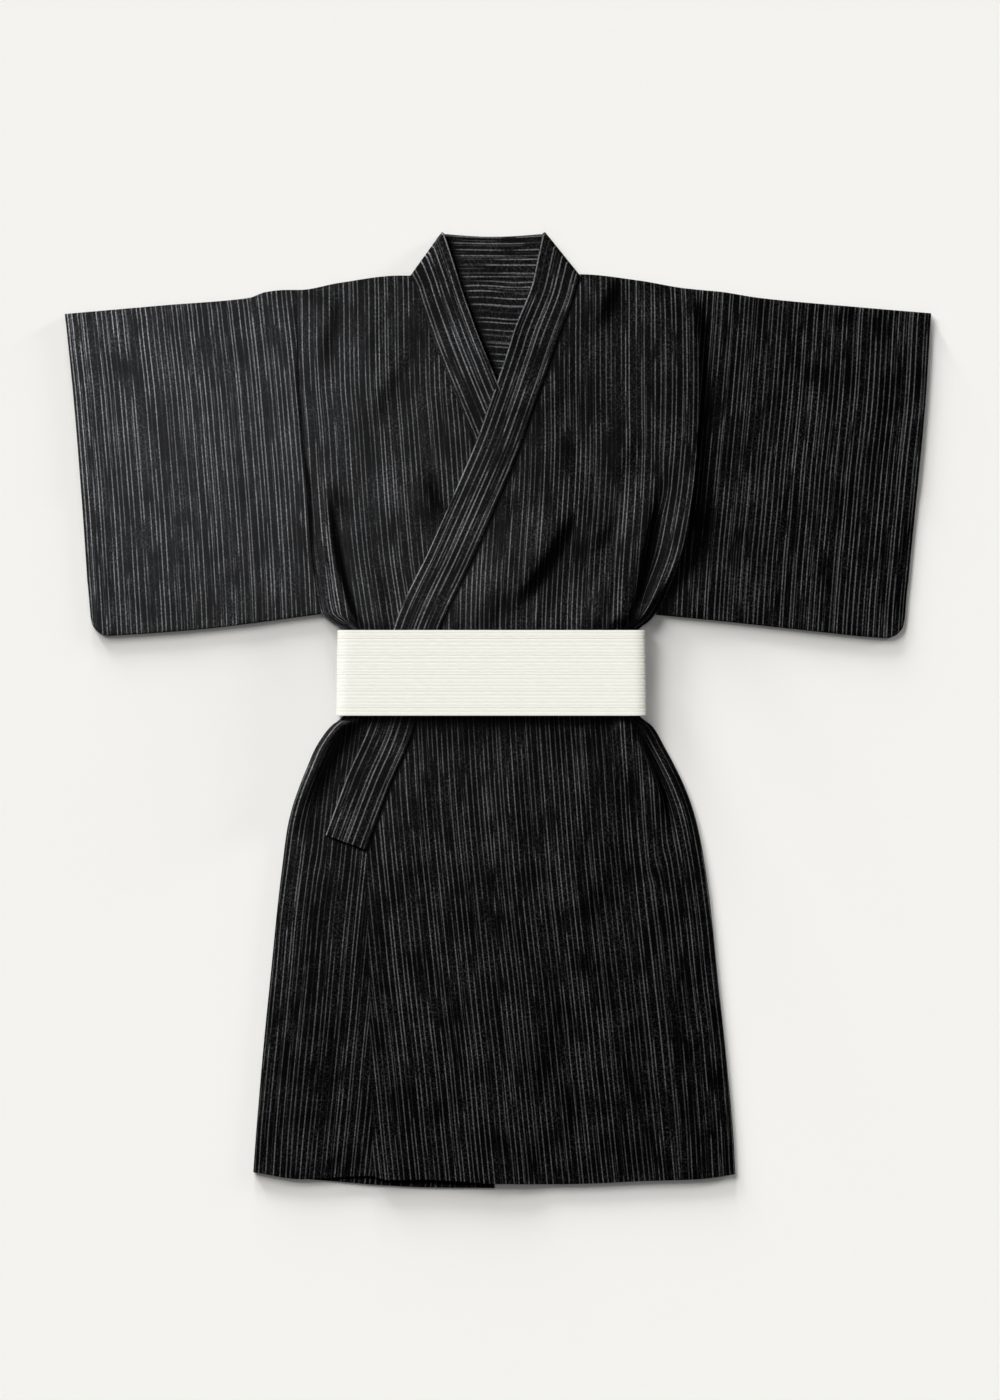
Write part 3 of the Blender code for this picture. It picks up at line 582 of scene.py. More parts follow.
def shell(name, rows, wall, material):
    """A wall of cloth through rows of spots; a shorter row ends the surface early."""
    counts = [len(row) for row in rows]
    starts = np.concatenate([[0], np.cumsum(counts)[:-1]])
    quads = []
    for i in range(len(rows) - 1):
        j = np.arange(min(counts[i], counts[i + 1]) - 1)
        here, there = starts[i] + j, starts[i + 1] + j
        quads.append(np.column_stack([here, here + 1, there + 1, there]))
    quads = np.concatenate(quads)
    flat = np.concatenate(rows)
    place, out, uv = flat[:, :3], flat[:, 3:6], flat[:, 6:8]
    first = quads[len(quads) // 2]
    looks = np.cross(place[first[1]] - place[first[0]], place[first[3]] - place[first[0]])
    if looks @ out[first[0]] < 0:
        quads = quads[:, ::-1]
    count = len(place)
    points = np.concatenate([place + out * wall / 2, place - out * wall / 2])
    pairs = np.concatenate([quads[:, [k, (k + 1) % 4]] for k in range(4)])
    key = pairs[:, 0] * count + pairs[:, 1]
    back = pairs[:, 1] * count + pairs[:, 0]
    rim = pairs[~np.isin(key, back)]
    rim_quads = np.column_stack([rim[:, 1], rim[:, 0], rim[:, 0] + count, rim[:, 1] + count])
    faces = np.concatenate([quads, quads[:, ::-1] + count, rim_quads])
    made = cloth_object(name, points, faces.tolist(), np.concatenate([uv, uv])[faces.ravel()], material)
    mesh = made.data
    sharp = mesh.attributes.new("sharp_edge", "BOOLEAN", "EDGE")
    edge_ends = np.array([e.vertices[:] for e in mesh.edges])
    same_side = (edge_ends[:, 0] < count) == (edge_ends[:, 1] < count)
    rim_keys = set(map(tuple, np.sort(np.concatenate([rim, rim + count]), axis=1).tolist()))
    flags = [bool(s) and tuple(sorted(e)) in rim_keys for s, e in zip(same_side, edge_ends.tolist())]
    sharp.data.foreach_set("value", flags)
    mesh.validate()
    return made


def close_ring(made):
    """Joins the first and last rows of a tube, which lie on each other; the cloth coordinates keep their jump."""
    work = bmesh.new()
    work.from_mesh(made.data)
    bmesh.ops.remove_doubles(work, verts=work.verts, dist=0.00002)
    work.to_mesh(made.data)
    work.free()


def across_cloth(side, x, y):
    """Place across the bolt of cloth: from the side seam in, past the tuck that takes up the drawn-in side."""
    depth = depth_in(side, x, y)
    taken_up = (side_of[side](y) - grain_line[side](y)) * INWARD[side]
    tuck = tuck_of[side](y)
    return depth + taken_up * ramp(depth, 0.75 * tuck, 1.15 * tuck)


def fold_arc(x, line_y, lower, upper, u, v):
    """Rows over the shoulder fold, from the upper layer to the lower one."""
    radius = (upper - lower) / 2
    middle_y = line_y - radius - CLOTH / 2
    rows = []
    for step in range(ARC_STEPS + 1):
        angle = math.pi / 2 - math.pi * step / ARC_STEPS
        out = (0.0, math.cos(angle), math.sin(angle))
        turned = radius * (math.pi / 2 - angle)
        z = (upper + lower) / 2 + radius * out[2]
        rows.append(spots(x, middle_y + radius * out[1], z, out, u, v - turned))
    return rows


def rows_of(start, end, step, keep=()):
    """Row positions from start down to end, with some exact ones kept."""
    rows = np.linspace(start, end, int(round(abs(end - start) / step)) + 1)
    for exact in keep:
        rows[np.argmin(np.abs(rows - exact))] = exact
    return rows


def front_inner_edge(side, y):
    """x of a body front's inner edge: the collar seam, then the overlap seam."""
    seam = np.where(y >= OVERLAP_POINT, collar_seam[side](y), overlap_seam[side](y))
    return seam - INWARD[side] * SEAM / 2


def spread(length, count, near, near_count):
    """Distances from 0 to length, near_count of them within the near stretch."""
    close = np.linspace(0, near, near_count, endpoint=False)
    return np.concatenate([close, np.linspace(near, length, count - near_count)])


def body(side):
    inward = INWARD[side]
    neck = NECK_SLIT[side] - inward * SEAM / 2
    start_u = CLOTH_START[side]
    rows = []
    for y in rows_of(FRONT_ROW, HEM_ROW, FRONT_STEP, keep=(OVERLAP_POINT, SASH_TOP - 1, SASH_BOTTOM + 1))[::-1]:
        start = side_of[side](y) + inward * SEAM / 2
        inner = front_inner_edge(side, y)
        depths = spread((inner - start) * inward, FRONT_COLUMNS, NEAR_SIDE, NEAR_COLUMNS)
        x = start + inward * depths
        z = front_height(side, x, y)
        sewn = ramp(y, 100, 160)
        z = z + seam_dip(depths, 0.9) * sewn + seam_dip(depths[-1] - depths, 0.35, 3.0)
        u = start_u + across_cloth(side, x, y)
        rows.append(spots(x, row_height(x, y, front_hem[side]), z, UP, u, SHOULDER_ROW - y))
    top_start = side_of[side](SHOULDER_ROW) + inward * SEAM / 2
    top_x = top_start + inward * spread((neck - top_start) * inward, FRONT_COLUMNS, NEAR_SIDE, NEAR_COLUMNS)
    top_u = start_u + across_cloth(side, top_x, SHOULDER_ROW)
    lower = CLOTH / 2
    arcs = fold_arc(top_x, shoulder_line(top_x), lower, lower + 2 * SHOULDER_RADIUS, top_u, 4.0)
    rows += arcs[:-1]
    centre = CENTRE - inward * SEAM / 2
    neck_x = np.linspace(neck + inward * 5.0, centre, BACK_EXTRA)
    neck_u = start_u + across_cloth(side, neck_x, SHOULDER_ROW)
    neckline = spots(neck_x, NECK_SEAM - SEAM, lower, DOWN, neck_u, -8.0)
    rows.append(np.concatenate([arcs[-1], neckline]))
    first = rows[-1]
    top_share = (first[:, 0] - top_start) / (centre - top_start)
    even_share = np.linspace(0, 1, len(first))
    for y in rows_of(BACK_ROW, HEM_ROW, BACK_STEP, keep=(SASH_TOP - 1, SASH_BOTTOM + 1)):
        start = side_of[side](y) + inward * SEAM / 2
        share = blend(top_share, even_share, ramp(y, 600, 350))
        x = blend(start, centre, share)
        z = back_height(side, x, y)
        u = start_u + across_cloth(side, x, y)
        rows.append(spots(x, row_height(x, y, back_hem[side]), z, DOWN, u, y - SHOULDER_ROW - 8.0))
    return shell("cloth_body_" + side, rows, SHOWN_CLOTH, striped)


def overlap(side):
    inward = INWARD[side]
    rows = []
    for y in rows_of(OVERLAP_POINT - 6, HEM_ROW, FRONT_STEP, keep=(COLLAR_END,)):
        seam = overlap_seam[side](y) + inward * SEAM / 2
        edge = np.where(y > COLLAR_END, collar_seam[side](y), overlap_edge[side](y)) - inward * SEAM / 2
        x = np.linspace(seam, edge, 34)
        z = front_height(side, x, y) + seam_dip(np.abs(x - seam), 0.35, 3.0)
        u = CLOTH_START[side] + OVERLAP_START + across_cloth(side, x, y)
        rows.append(spots(x, row_height(x, y, front_hem[side]), z, UP, u, SHOULDER_ROW - y))
    return shell("cloth_overlap_" + side, rows, SHOWN_CLOTH, striped)


def sleeve(side):
    inward = INWARD[side]
    cuff, foot = cuff_of[side], sleeve_foot[side]
    lower = CLOTH / 2
    close, middle = np.linspace(0, 0.1, 14, endpoint=False), np.linspace(0.1, 0.86, 30, endpoint=False)
    share = np.concatenate([close, middle, np.linspace(0.86, 1, 14)])

    def line(y):
        """x, y and distance from the cuff for one of the body's rows."""
        inner_x = side_of[side](y) - inward * SEAM / 2
        inner_y = near_shoulder(inner_x, y)
        down = (SHOULDER_ROW - y) / (SHOULDER_ROW - SLEEVE_FOOT)
        outer_y = blend(shoulder_line(cuff(600)), foot(cuff(112)), down)
        outer_x = cuff(outer_y)
        x = blend(outer_x, inner_x, share)
        return x, blend(outer_y, inner_y, share), share * abs(inner_x - outer_x)

    top_x, _, top_in = line(SHOULDER_ROW)
    foot_x, _, foot_in = line(SLEEVE_FOOT)
    top_y = shoulder_line(top_x)
    corner = np.minimum(foot_in, CORNER_RADIUS)
    foot_y = foot(foot_x) + CORNER_RADIUS - np.sqrt(CORNER_RADIUS**2 - (CORNER_RADIUS - corner) ** 2)
    sewn_below = top_y - CUFF_OPENING
    start_u = CLOTH_START[side] + SLEEVE_START

    def upper_mid(x, y, inset):
        depth = depth_in(side, x, y)
        air = laid_gap(y) * blend(0.75, 1.0, ramp(depth, -60, -4))
        open_z = CLOTH + PLY + air + side_ridges(side, x, y) + fold_height(sleeve_drifts, x, y)
        at_armhole = side_floor(side, x, y)
        z = blend(open_z, at_armhole, ramp(depth, -9, 0)) + CLOTH / 2
        sewn = ramp(y, sewn_below + 12, sewn_below - 12) * (1 - ramp(inset, 0, 14))
        dip = seam_dip(depth, 0.5)
        return blend(z, 1.5 * CLOTH + SEAM, sewn) + dip

    arcs = fold_arc(top_x, top_y, lower, lower + 2 * SHOULDER_RADIUS, start_u + top_in, 4.0)
    rows = arcs[::-1]
    foot_top = upper_mid(foot_x, foot_y, foot_in)
    radius = (foot_top - lower) / 2
    upper_end = foot_y + radius + CLOTH / 2
    levels = rows_of(SHOULDER_ROW, SLEEVE_FOOT, 6.0)[3:]
    shares = (SHOULDER_ROW - levels) / (SHOULDER_ROW - SLEEVE_FOOT)
    start_y = arcs[0][:, 1]
    turning_y = line(levels[np.searchsorted(shares, ROUNDED_FROM)])[1]

    def level_row(level, down):
        """A row of a layer; the lowest ones lean towards the rounded corner."""
        x, y, inset = line(level)
        if down > ROUNDED_FROM:
            leaning = blend(turning_y, upper_end, (down - ROUNDED_FROM) / (1 - ROUNDED_FROM))
            y = np.maximum(blend(y, leaning, ramp(down, ROUNDED_FROM, ROUNDED_FROM + 0.06)), upper_end)
        return x, y, inset

    for level, down in zip(levels, shares):
        x, y, inset = level_row(level, down)
        rows.append(spots(x, y, upper_mid(x, y, inset), UP, start_u + inset, 4.0 + start_y - y))
    length = 4.0 + start_y - upper_end
    for step in range(1, ARC_STEPS + 1):
        angle = math.pi / 2 + math.pi * step / ARC_STEPS
        out = (0.0, math.cos(angle), math.sin(angle))
        z = (foot_top + lower) / 2 + radius * out[2]
        turned = radius * (angle - math.pi / 2)
        rows.append(spots(foot_x, upper_end + radius * out[1], z, out, start_u + foot_in, length + turned))
    for level, down in zip(levels[::-2], shares[::-2]):
        x, y, inset = level_row(level, down)
        if down < 0.995:
            rows.append(spots(x, y, lower, DOWN, start_u + inset, length + 6.0 + y - upper_end))
    last = rows[0].copy()
    last[:, 7] = length + 6.0 + last[:, 1] - upper_end
    rows.append(last)
    made = shell("cloth_sleeve_" + side, rows, SHOWN_CLOTH, striped)
    close_ring(made)
    return made


def band_section(side, y):
    """Spots across the collar at one row of a front, level except near the neck and the band's end."""
    inward = INWARD[side]
    seam = collar_seam[side]
    low = max(y - 12.0, COLLAR_END)
    slope = (seam(low + 24.0) - seam(low)) / 24.0
    square = ramp(y, 560, 615) + ramp(y, COLLAR_END + 80, COLLAR_END)
    length = math.hypot(1.0, slope)
    start = seam(y) + inward * SEAM / 2
    height = over_floor if side == "left" else front_floor
    lift = COLLAR_WALL / 2 + (OUTER_COLLAR_LIFT if side == "left" else 0.0)
    share = COLLAR_WIDTH * band_share
    x = start + inward * share * blend(length, 1 / length, square)
    rise = -inward * slope / length * share * square
    stands = 5.0 * ramp(y, 430, 490) * ramp(y, 615, 565) if side == "right" else 0.0
    risen = stands * share / COLLAR_WIDTH
    z = height(x, y) + lift + risen - edge_round(share)
    return spots(x, near_shoulder(start, y) + rise, z, UP, COLLAR_START + COLLAR_STRIPES * share, 0)


def edge_round(share):
    """How far the band's two folded edges turn down."""
    near = np.minimum(share, COLLAR_WIDTH - share)
    return 0.5 * np.clip(1 - near / 2.4, 0, 1) ** 2


def neck_turn(seam_point, free_point, outward_sign):
    """Sections over the collar's fold at one side of the neck, from the upper layer to the lower one."""
    width = (free_point[0] - seam_point[0], free_point[1] - seam_point[1])
    length = math.hypot(*width)
    outward = (-width[1] / length * outward_sign, width[0] / length * outward_sign)
    lower = COLLAR_WALL / 2
    sections = []
    for step in range(ARC_STEPS + 1):
        angle = math.pi / 2 - math.pi * step / ARC_STEPS
        reach = COLLAR_TURN * math.cos(angle) - COLLAR_TURN - COLLAR_WALL / 2
        z = lower + COLLAR_TURN + COLLAR_TURN * math.sin(angle)
        out = (outward[0] * math.cos(angle), outward[1] * math.cos(angle), math.sin(angle))
        longer = (1.2 + 3.8 * math.sin(angle) ** 2) / length * (1 - band_share)
        x = seam_point[0] + width[0] * (band_share - longer) + outward[0] * reach
        y = seam_point[1] + width[1] * (band_share - longer) + outward[1] * reach
        sections.append(spots(x, y, z, out, COLLAR_START + COLLAR_STRIPES * COLLAR_WIDTH * band_share, 0))
    return sections


def collar():
    levels = rows_of(FRONT_ROW, COLLAR_END, 4.0)
    left_front = [band_section("left", y) for y in levels[::-1]]
    left_turn = neck_turn((121.3, 655.0), (70.5, 718.0), -1)
    right_turn = neck_turn((-130.6, 653.8), (-84.5, 718.0), 1)
    back = []
    count = 36
    for step in range(1, count):
        share = step / count
        seam_x = blend(left_turn[-1][0, 0], right_turn[-1][0, 0], share)
        free_x = blend(left_turn[-1][-1, 0], right_turn[-1][-1, 0], share)
        free_y = 715.2 - 4.2 * math.sin(math.pi * share)
        x = blend(seam_x, free_x, band_share)
        y = blend(NECK_SEAM + SEAM, free_y, band_share)
        z = COLLAR_WALL / 2 + edge_round(COLLAR_WIDTH * band_share) * 0.5
        back.append(spots(x, y, z, DOWN, COLLAR_START + COLLAR_STRIPES * COLLAR_WIDTH * band_share, 0))
    right_front = [band_section("right", y) for y in levels]
    sections = left_front + left_turn + back + right_turn[::-1] + right_front
    middles = np.array([row[BAND_COLUMNS // 2, :3] for row in sections])
    runs = np.concatenate([[0], np.cumsum(np.linalg.norm(np.diff(middles, axis=0), axis=1))])
    for row, run in zip(sections, runs):
        row[:, 7] = run
    return shell("cloth_collar", sections, SHOWN_COLLAR, striped)


def yoke_lining(side):
    inward = INWARD[side]
    outer = NECK_SLIT[side] + inward * 6
    x = np.linspace(outer, CENTRE - inward * SEAM / 2, 26)
    rows = []
    for y in np.linspace(NECK_SEAM - 2 * SEAM, YOKE_BOTTOM, 34):
        z = CLOTH + SEAM + LINING_WALL / 2 + 0.25 + seam_dip(np.abs(x - CENTRE), 0.25, 2.5)
        rows.append(spots(x, y, z, UP, YOKE_START - YOKE_STRIPES * (y + 1.3 * np.sin(x / 19.0)), x))
    return shell("cloth_yoke_lining_" + side, rows, LINING_WALL * 0.8, striped)


def sash_profile(inset):
    """Points round the sash, seen from its end."""
    right = SASH_RIGHT_END + inset
    left = SASH_LEFT_END - inset
    high = SASH_HEIGHT - inset
    under = SASH_UNDER_ROUND - inset
    upper = SASH_UPPER_ROUND - inset
    wide = 1.7 * upper
    points = []

    def corner(cx, cz, wide, radius, start, steps):
        for step in range(steps + 1):
            angle = math.radians(start + 90 * step / steps)
            points.append((cx + wide * math.cos(angle), cz + radius * math.sin(angle)))

    corner(left - under, inset + under, under, under, -90, 5)
    corner(left - wide, high - upper, wide, upper, 0, 10)
    for share in np.linspace(0, 1, 42)[1:-1]:
        points.append((blend(left - wide, right + wide, share), high))
    corner(right + wide, high - upper, wide, upper, 90, 10)
    corner(right + under, inset + under, under, under, 180, 5)
    for share in np.linspace(0, 1, 22)[1:-1]:
        points.append((blend(right + under, left - under, share), inset))
    return np.array(points)


def sash():
    """A flattened ring whose outside is woven in ribs."""
    middle_x = (SASH_RIGHT_END + SASH_LEFT_END) / 2
    half_width = (SASH_LEFT_END - SASH_RIGHT_END) / 2
    outer, inner = sash_profile(0.0), sash_profile(1.3)
    round_run = np.concatenate([[0], np.cumsum(np.hypot(*np.diff(outer, axis=0).T))])
    rows = []

    def ring(points, y, sunk):
        flare = SASH_FLARE * (SASH_TOP - y) / (SASH_TOP - SASH_BOTTOM)
        x, z = points.T
        on_side = (x - middle_x) / half_width
        depth = sunk * ramp(z, 2.0, 7.0)
        wide = x + flare * on_side - depth * on_side**9
        tall = z - depth * ramp(z, 8.0, 19.0)
        return np.column_stack([wide, np.full(len(x), y), tall, round_run, np.full(len(x), y)])

    widths = [1 + 0.24 * math.sin(i * 2.4) + 0.2 * math.sin(i * 5.1 + 1) for i in range(SASH_RIBS)]
    run = np.concatenate([[0], np.cumsum(widths)]) / sum(widths)
    starts = SHOWN_BOTTOM + (SASH_TOP - SHOWN_BOTTOM) * run
    for i in range(SASH_RIBS):
        uneven = 0.5 + 0.5 * math.sin(i * 2.4) * math.sin(i * 5.1 + 1)
        for part, low in ((0.0, 1.0), (0.14, 0.45), (0.32, 0.12), (0.5, 0.0), (0.68, 0.12), (0.86, 0.45)):
            y = blend(starts[i], starts[i + 1], part)
            rows.append(ring(outer, y, (0.14 + 0.5 * uneven) * low))
    rows.append(ring(outer, SASH_TOP, 0.4))
    for y in np.linspace(SASH_TOP, SHOWN_BOTTOM, 14):
        rows.append(ring(inner, y, 0.0))
    count = len(outer)
    flat = np.concatenate(rows)
    faces, uv = [], []
    for i in range(len(rows)):
        k = (i + 1) % len(rows)
        for j in range(count):
            n = (j + 1) % count
            face = (i * count + j, k * count + j, k * count + n, i * count + n)
            faces.append(face)
            for corner in face:
                past_end = round_run[-1] + 6.0 if n == 0 and corner % count == 0 else 0.0
                uv.append((flat[corner, 3] + past_end, flat[corner, 4]))
    return cloth_object("cloth_sash", flat[:, :3], faces, np.array(uv), ribbed)


class Nodes:
    """Short ways to add and join a material's nodes."""

    def __init__(self, name):
        self.material = bpy.data.materials.new(name)
        self.material.use_nodes = True
        self.tree = self.material.node_tree
        self.shader = self.tree.nodes["Principled BSDF"]

    def add(self, kind, settings=(), **inputs):
        node = self.tree.nodes.new(kind)
        for key, value in dict(settings).items():
            setattr(node, key, value)
        for key, value in inputs.items():
            self.feed(node, key.replace("_", " "), value)
        return node

    def feed(self, node, key, value):
        socket = node.inputs[int(key)] if key.isdigit() else node.inputs[key]
        if isinstance(value, bpy.types.NodeSocket):
            self.tree.links.new(value, socket)
        else:
            socket.default_value = value

    def math(self, kind, a, b=0.0, clamp=False):
        node = self.tree.nodes.new("ShaderNodeMath")
        node.operation = kind
        node.use_clamp = clamp
        self.feed(node, "0", a)
        self.feed(node, "1", b)
        return node.outputs[0]

    def times(self, a, b, clamp=False):
        return self.math("MULTIPLY", a, b, clamp)

    def fit(self, value, low, high, to_low=0.0, to_high=1.0):
        node = self.tree.nodes.new("ShaderNodeMapRange")
        node.clamp = True
        for key, number in (("From Min", low), ("From Max", high), ("To Min", to_low), ("To Max", to_high)):
            node.inputs[key].default_value = number
        self.feed(node, "Value", value)
        return node.outputs["Result"]

    def mix(self, share, a, b):
        node = self.tree.nodes.new("ShaderNodeMix")
        node.data_type = "RGBA"
        self.feed(node, "0", share)
        for key, value in ((6, a), (7, b)):
            if isinstance(value, bpy.types.NodeSocket):
                self.tree.links.new(value, node.inputs[key])
            else:
                node.inputs[key].default_value = (*value, 1.0)
        return node.outputs[2]

    def noise(self, vector, scale, detail=2.0, roughness=0.5):
        node = self.add("ShaderNodeTexNoise", Vector=vector, Scale=scale, Detail=detail, Roughness=roughness)
        return node.outputs["Fac"]

    def bands(self, vector, direction, scale):
        settings = {"wave_type": "BANDS", "bands_direction": direction}
        return self.add("ShaderNodeTexWave", settings, Vector=vector, Scale=scale).outputs["Fac"]

    def stretched_noise(self, u, v, u_rate, v_rate, detail, roughness=0.5):
        """Noise over the cloth with its own scale along and across the threads."""
        place = self.joined(self.times(u, u_rate), self.times(v, v_rate))
        return self.noise(place, 1.0, detail, roughness)

    def joined(self, x, y=0.0, z=0.0):
        return self.add("ShaderNodeCombineXYZ", X=x, Y=y, Z=z).outputs[0]

    def cloth_place(self):
        """The cloth coordinates, whole and apart."""
        uv = self.add("ShaderNodeUVMap", {"uv_map": "cloth"}).outputs[0]
        split = self.add("ShaderNodeSeparateXYZ", Vector=uv)
        return uv, split.outputs[0], split.outputs[1]


def stripe_layer(n, u, v, per_metre, offset, half_width, dash_rate, cut, soft):
    """Lines of uneven spacing, each broken into dashes of its own lengths."""
    w = n.math("ADD", n.times(u, per_metre), offset)
    looks = {"voronoi_dimensions": "1D", "feature": "F1"}
    cell = n.add("ShaderNodeTexVoronoi", looks, W=w, Scale=1.0, Randomness=0.55)
    line = n.fit(cell.outputs["Distance"], half_width * per_metre * 1.15, half_width * per_metre * 0.55)
    split = n.add("ShaderNodeSeparateColor", Color=cell.outputs["Color"])
    own = n.times(split.outputs[0], 37.0)
    run = n.joined(own, n.times(v, dash_rate))
    dash = n.noise(run, 1.0, 2.0, 0.6)
    shown = n.fit(dash, cut, cut + soft)
    strength = n.fit(split.outputs[1], 0.0, 1.0, 0.55, 1.1)
    return line, shown, strength


def make_striped():
    n = Nodes("striped_cotton_cloth")
    uv, u, v = n.cloth_place()
    wander = n.stretched_noise(u, v, 3.0, 5.0, 1.0)
    u = n.math("ADD", u, n.fit(wander, 0.0, 1.0, -0.0022, 0.0022))

    line, shown, strength = stripe_layer(n, u, v, 133.0, 0.0, 0.00092, 7.0, 0.41, 0.06)
    faint = n.fit(shown, 0.0, 1.0, 0.12, 1.0)
    main = n.times(n.times(line, faint), strength)
    line, shown, strength = stripe_layer(n, u, v, 140.0, 51.3, 0.0006, 8.0, 0.52, 0.05)
    thin = n.times(n.times(line, shown), 0.3)
    stripe = n.math("MAXIMUM", main, thin)

    slub = n.stretched_noise(u, v, 700.0, 330.0, 2.0, 0.6)
    fleck = n.stretched_noise(u, v, 280.0, 280.0, 3.0, 0.75)
    stripe = n.times(stripe, n.fit(slub, 0.32, 0.68, 0.3, 1.5))
    stripe = n.times(stripe, n.fit(fleck, 0.36, 0.6, 0.55, 1.15))
    patch = n.stretched_noise(u, v, 26.0, 15.0, 3.0, 0.6)
    stripe = n.times(stripe, n.fit(patch, 0.34, 0.62, 0.52, 1.0))
    stripe = n.times(stripe, n.fit(u, 8.0, 8.1, 0.9, 1.2), clamp=True)

    worn = n.times(n.fit(patch, 0.40, 0.62, 0.08, 1.0), n.fit(fleck, 0.49, 0.66))
    ground = n.mix(worn, GROUND, GROUND_WORN)
    colour = n.mix(stripe, ground, STRIPE)
    n.feed(n.shader, "Base Color", colour)
    n.feed(n.shader, "Roughness", n.fit(fleck, 0.3, 0.7, 0.58, 0.68))
    n.feed(n.shader, "Specular IOR Level", 0.12)

    weave = n.times(n.bands(uv, "X", 160.0), n.bands(uv, "Y", 190.0))
    raised = n.math("ADD", n.times(fleck, 0.6), n.times(stripe, 0.5))
    height = n.math("ADD", n.times(weave, 0.5), raised)
    crumple = n.noise(uv, 15.0, 3.0, 0.55)
    bump_fine = n.add("ShaderNodeBump", Strength=0.5, Distance=0.0006, Height=height)
    bump_wide = n.add("ShaderNodeBump", Strength=0.5, Distance=0.006, Height=crumple, Normal=bump_fine.outputs[0])
    n.feed(n.shader, "Normal", bump_wide.outputs[0])
    return n.material


def make_ribbed():
    n = Nodes("sash_ribbed_cotton")
    _, u, v = n.cloth_place()
    thread = n.stretched_noise(u, v, 60.0, 900.0, 3.0, 0.6)
    cross = n.stretched_noise(u, v, 1300.0, 300.0, 2.0, 0.6)
    tone = n.math("ADD", n.times(thread, 0.6), n.times(cross, 0.4))
    n.feed(n.shader, "Base Color", n.mix(n.fit(tone, 0.34, 0.62, 0.85, 0.0), IVORY, IVORY_SHADE))
    n.feed(n.shader, "Roughness", n.fit(thread, 0.3, 0.7, 0.68, 0.82))
    n.feed(n.shader, "Sheen Weight", 0.1)
    n.feed(n.shader, "Specular IOR Level", 0.3)
    height = n.math("ADD", n.times(cross, 0.5), n.times(thread, 0.5))
    fine = n.add("ShaderNodeBump", Strength=0.25, Distance=0.0006, Height=height)
    n.feed(n.shader, "Normal", fine.outputs[0])
    return n.material


def make_floor():
    n = Nodes("pale_floor")
    place = n.add("ShaderNodeTexCoord").outputs["Object"]
    grain = n.noise(place, 180.0, 2.0, 0.5)
    n.feed(n.shader, "Base Color", n.mix(n.fit(grain, 0.3, 0.7, 0.0, 0.02), FLOOR, FLOOR_GRAIN))
    n.feed(n.shader, "Roughness", 0.95)
    n.feed(n.shader, "Specular IOR Level", 0.0)
    return n.material


def camera():
    """Straight above the middle of the photograph's frame, from far enough to flatten the view."""
    lens = bpy.data.cameras.new("camera")
    lens.lens = 100.0
    lens.sensor_width = 36.0
    lens.clip_end = 40.0
    made = bpy.data.objects.new("camera", lens)
    made.location = (0.003, 0.0165, 5.8333)
    bpy.context.collection.objects.link(made)
    bpy.context.scene.camera = made


def lamp(name, kind, energy, position, target, size, colour=(1.0, 1.0, 1.0)):
    data = bpy.data.lights.new(name, kind)
    data.energy = energy
    data.color = colour
    if kind == "AREA":
        data.shape = "DISK"
        data.size = size
    else:
        data.angle = size
    made = bpy.data.objects.new(name, data)
    made.location = position
    made.rotation_euler = (Vector(target) - Vector(position)).to_track_quat("-Z", "Y").to_euler()
    made.visible_camera = False
    bpy.context.collection.objects.link(made)
    return made


def sun(name, azimuth, elevation, angle, share, shown_on):
    """A soft sun that gives level ground this share of its light."""
    rise = math.radians(elevation)
    around = math.radians(azimuth)
    position = (math.cos(around) * math.cos(rise), math.sin(around) * math.cos(rise), math.sin(rise))
    made = lamp(name, "SUN", share * math.pi / math.sin(rise), position, (0, 0, 0), math.radians(angle))
    made.visible_glossy = False
    made.light_linking.receiver_collection = shown_on


def group(name, members):
    made = bpy.data.collections.new(name)
    for member in members:
        made.objects.link(member)
    return made


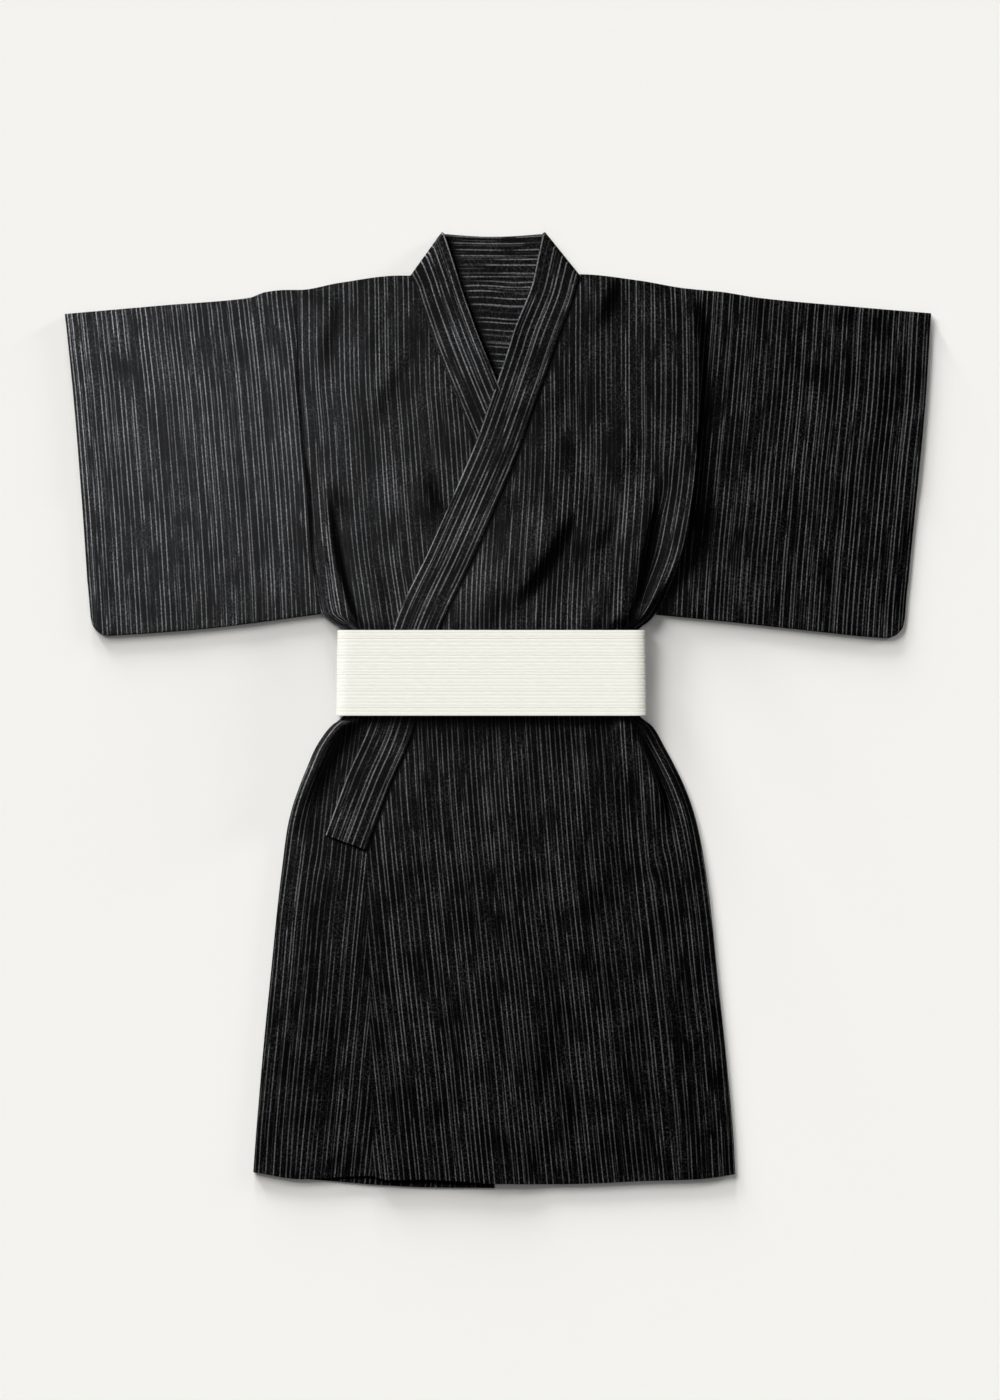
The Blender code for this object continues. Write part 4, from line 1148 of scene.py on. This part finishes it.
def lights(dark_pieces, white_pieces, ground):
    """Soft suns for the ground, the cloth and the sash, and two soft boxes near the wearer's right sleeve."""
    world = bpy.data.worlds.new("studio")
    bpy.context.scene.world = world
    world.use_nodes = True
    background = world.node_tree.nodes["Background"]
    background.inputs["Color"].default_value = (1.0, 1.0, 1.0, 1.0)
    background.inputs["Strength"].default_value = AMBIENT
    world.cycles_visibility.glossy = False
    cloth = group("dark_cloth", dark_pieces)
    white = group("white_cloth", white_pieces)
    for piece in white_pieces:
        piece.visible_diffuse = False
    below = group("ground", [ground])
    pale = group("pale", [ground, *white_pieces])
    sun("cloth_light", 137, 19, 14, CLOTH_SHARE, cloth)
    sun("sky", 100, 88, 150, SKY, pale)
    sun("sash_light", 137, 53, 30, SASH_SHARE, white)
    sun("ground_light", 108, 14, 16, 0.18, below)
    sun("ground_right_light", 134, 20, 22, 0.30, below)
    sun("ground_low_light", 94, 4.5, 8, 0.13, below)
    sun("ground_low_right_light", 118, 4.5, 8, 0.16, below)
    sun("ground_side_light", 30, 5, 8, 0.07, below)
    softbox = lamp("softbox", "AREA", SOFTBOX_WATTS, (-1.2, 0.8, 0.5), (-0.4, 0.32, 0.0), 0.5, SOFT_WHITE)
    softbox.visible_glossy = False
    softbox.light_linking.receiver_collection = cloth
    overhead = lamp("overhead", "AREA", OVERHEAD_WATTS, (-0.54, 0.42, 0.7), (-0.54, 0.42, 0.0), 0.5, SOFT_WHITE)
    overhead.visible_diffuse = False
    overhead.light_linking.receiver_collection = cloth


bpy.context.scene.view_settings.view_transform = "Standard"
camera()
striped = make_striped()
ribbed = make_ribbed()

# Flat size of each cut piece in metres: what shows, all round on the sash's ring
BODY_CUT = (0.361, 2.74)
OVERLAP_CUT = (0.19, 1.1)
SLEEVE_CUT = (0.35, 0.98)
COLLAR_CUT = (0.065, 2.08)
YOKE_CUT = (0.121, 0.184)
SASH_CUT = (0.13, 0.965)

pieces = []


def place(piece, node, slot, flat, rests_on, area=None):
    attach(piece, "root")
    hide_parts(node)
    pieces.append(piece)


place(body("right"), "body_right", "striped_cotton", BODY_CUT, ["sash"], area=0.9)
place(body("left"), "body_left", "striped_cotton", BODY_CUT, ["sash"], area=0.93)
place(overlap("right"), "overlap_right", "striped_cotton", OVERLAP_CUT, ["body_left", "body_right"], area=0.17)
place(overlap("left"), "overlap_left", "striped_cotton", OVERLAP_CUT, ["body_right", "overlap_right"], area=0.17)
place(sleeve("right"), "sleeve_right", "striped_cotton", SLEEVE_CUT, [])
place(sleeve("left"), "sleeve_left", "striped_cotton", SLEEVE_CUT, [])
place(collar(), "collar", "striped_cotton", COLLAR_CUT, ["body_right", "overlap_left"])
place(yoke_lining("right"), "yoke_lining_right", "striped_cotton", YOKE_CUT, ["body_right"])
place(yoke_lining("left"), "yoke_lining_left", "striped_cotton", YOKE_CUT, ["body_left"])
place(sash(), "sash", "sash_cotton", SASH_CUT, ["body_left", "collar"])

bpy.ops.mesh.primitive_plane_add(size=60.0, location=(0, 0, -0.0004))
floor = bpy.context.active_object
floor.name = "floor"
floor.data.materials.append(make_floor())
lights(pieces[:-1], pieces[-1:], floor)
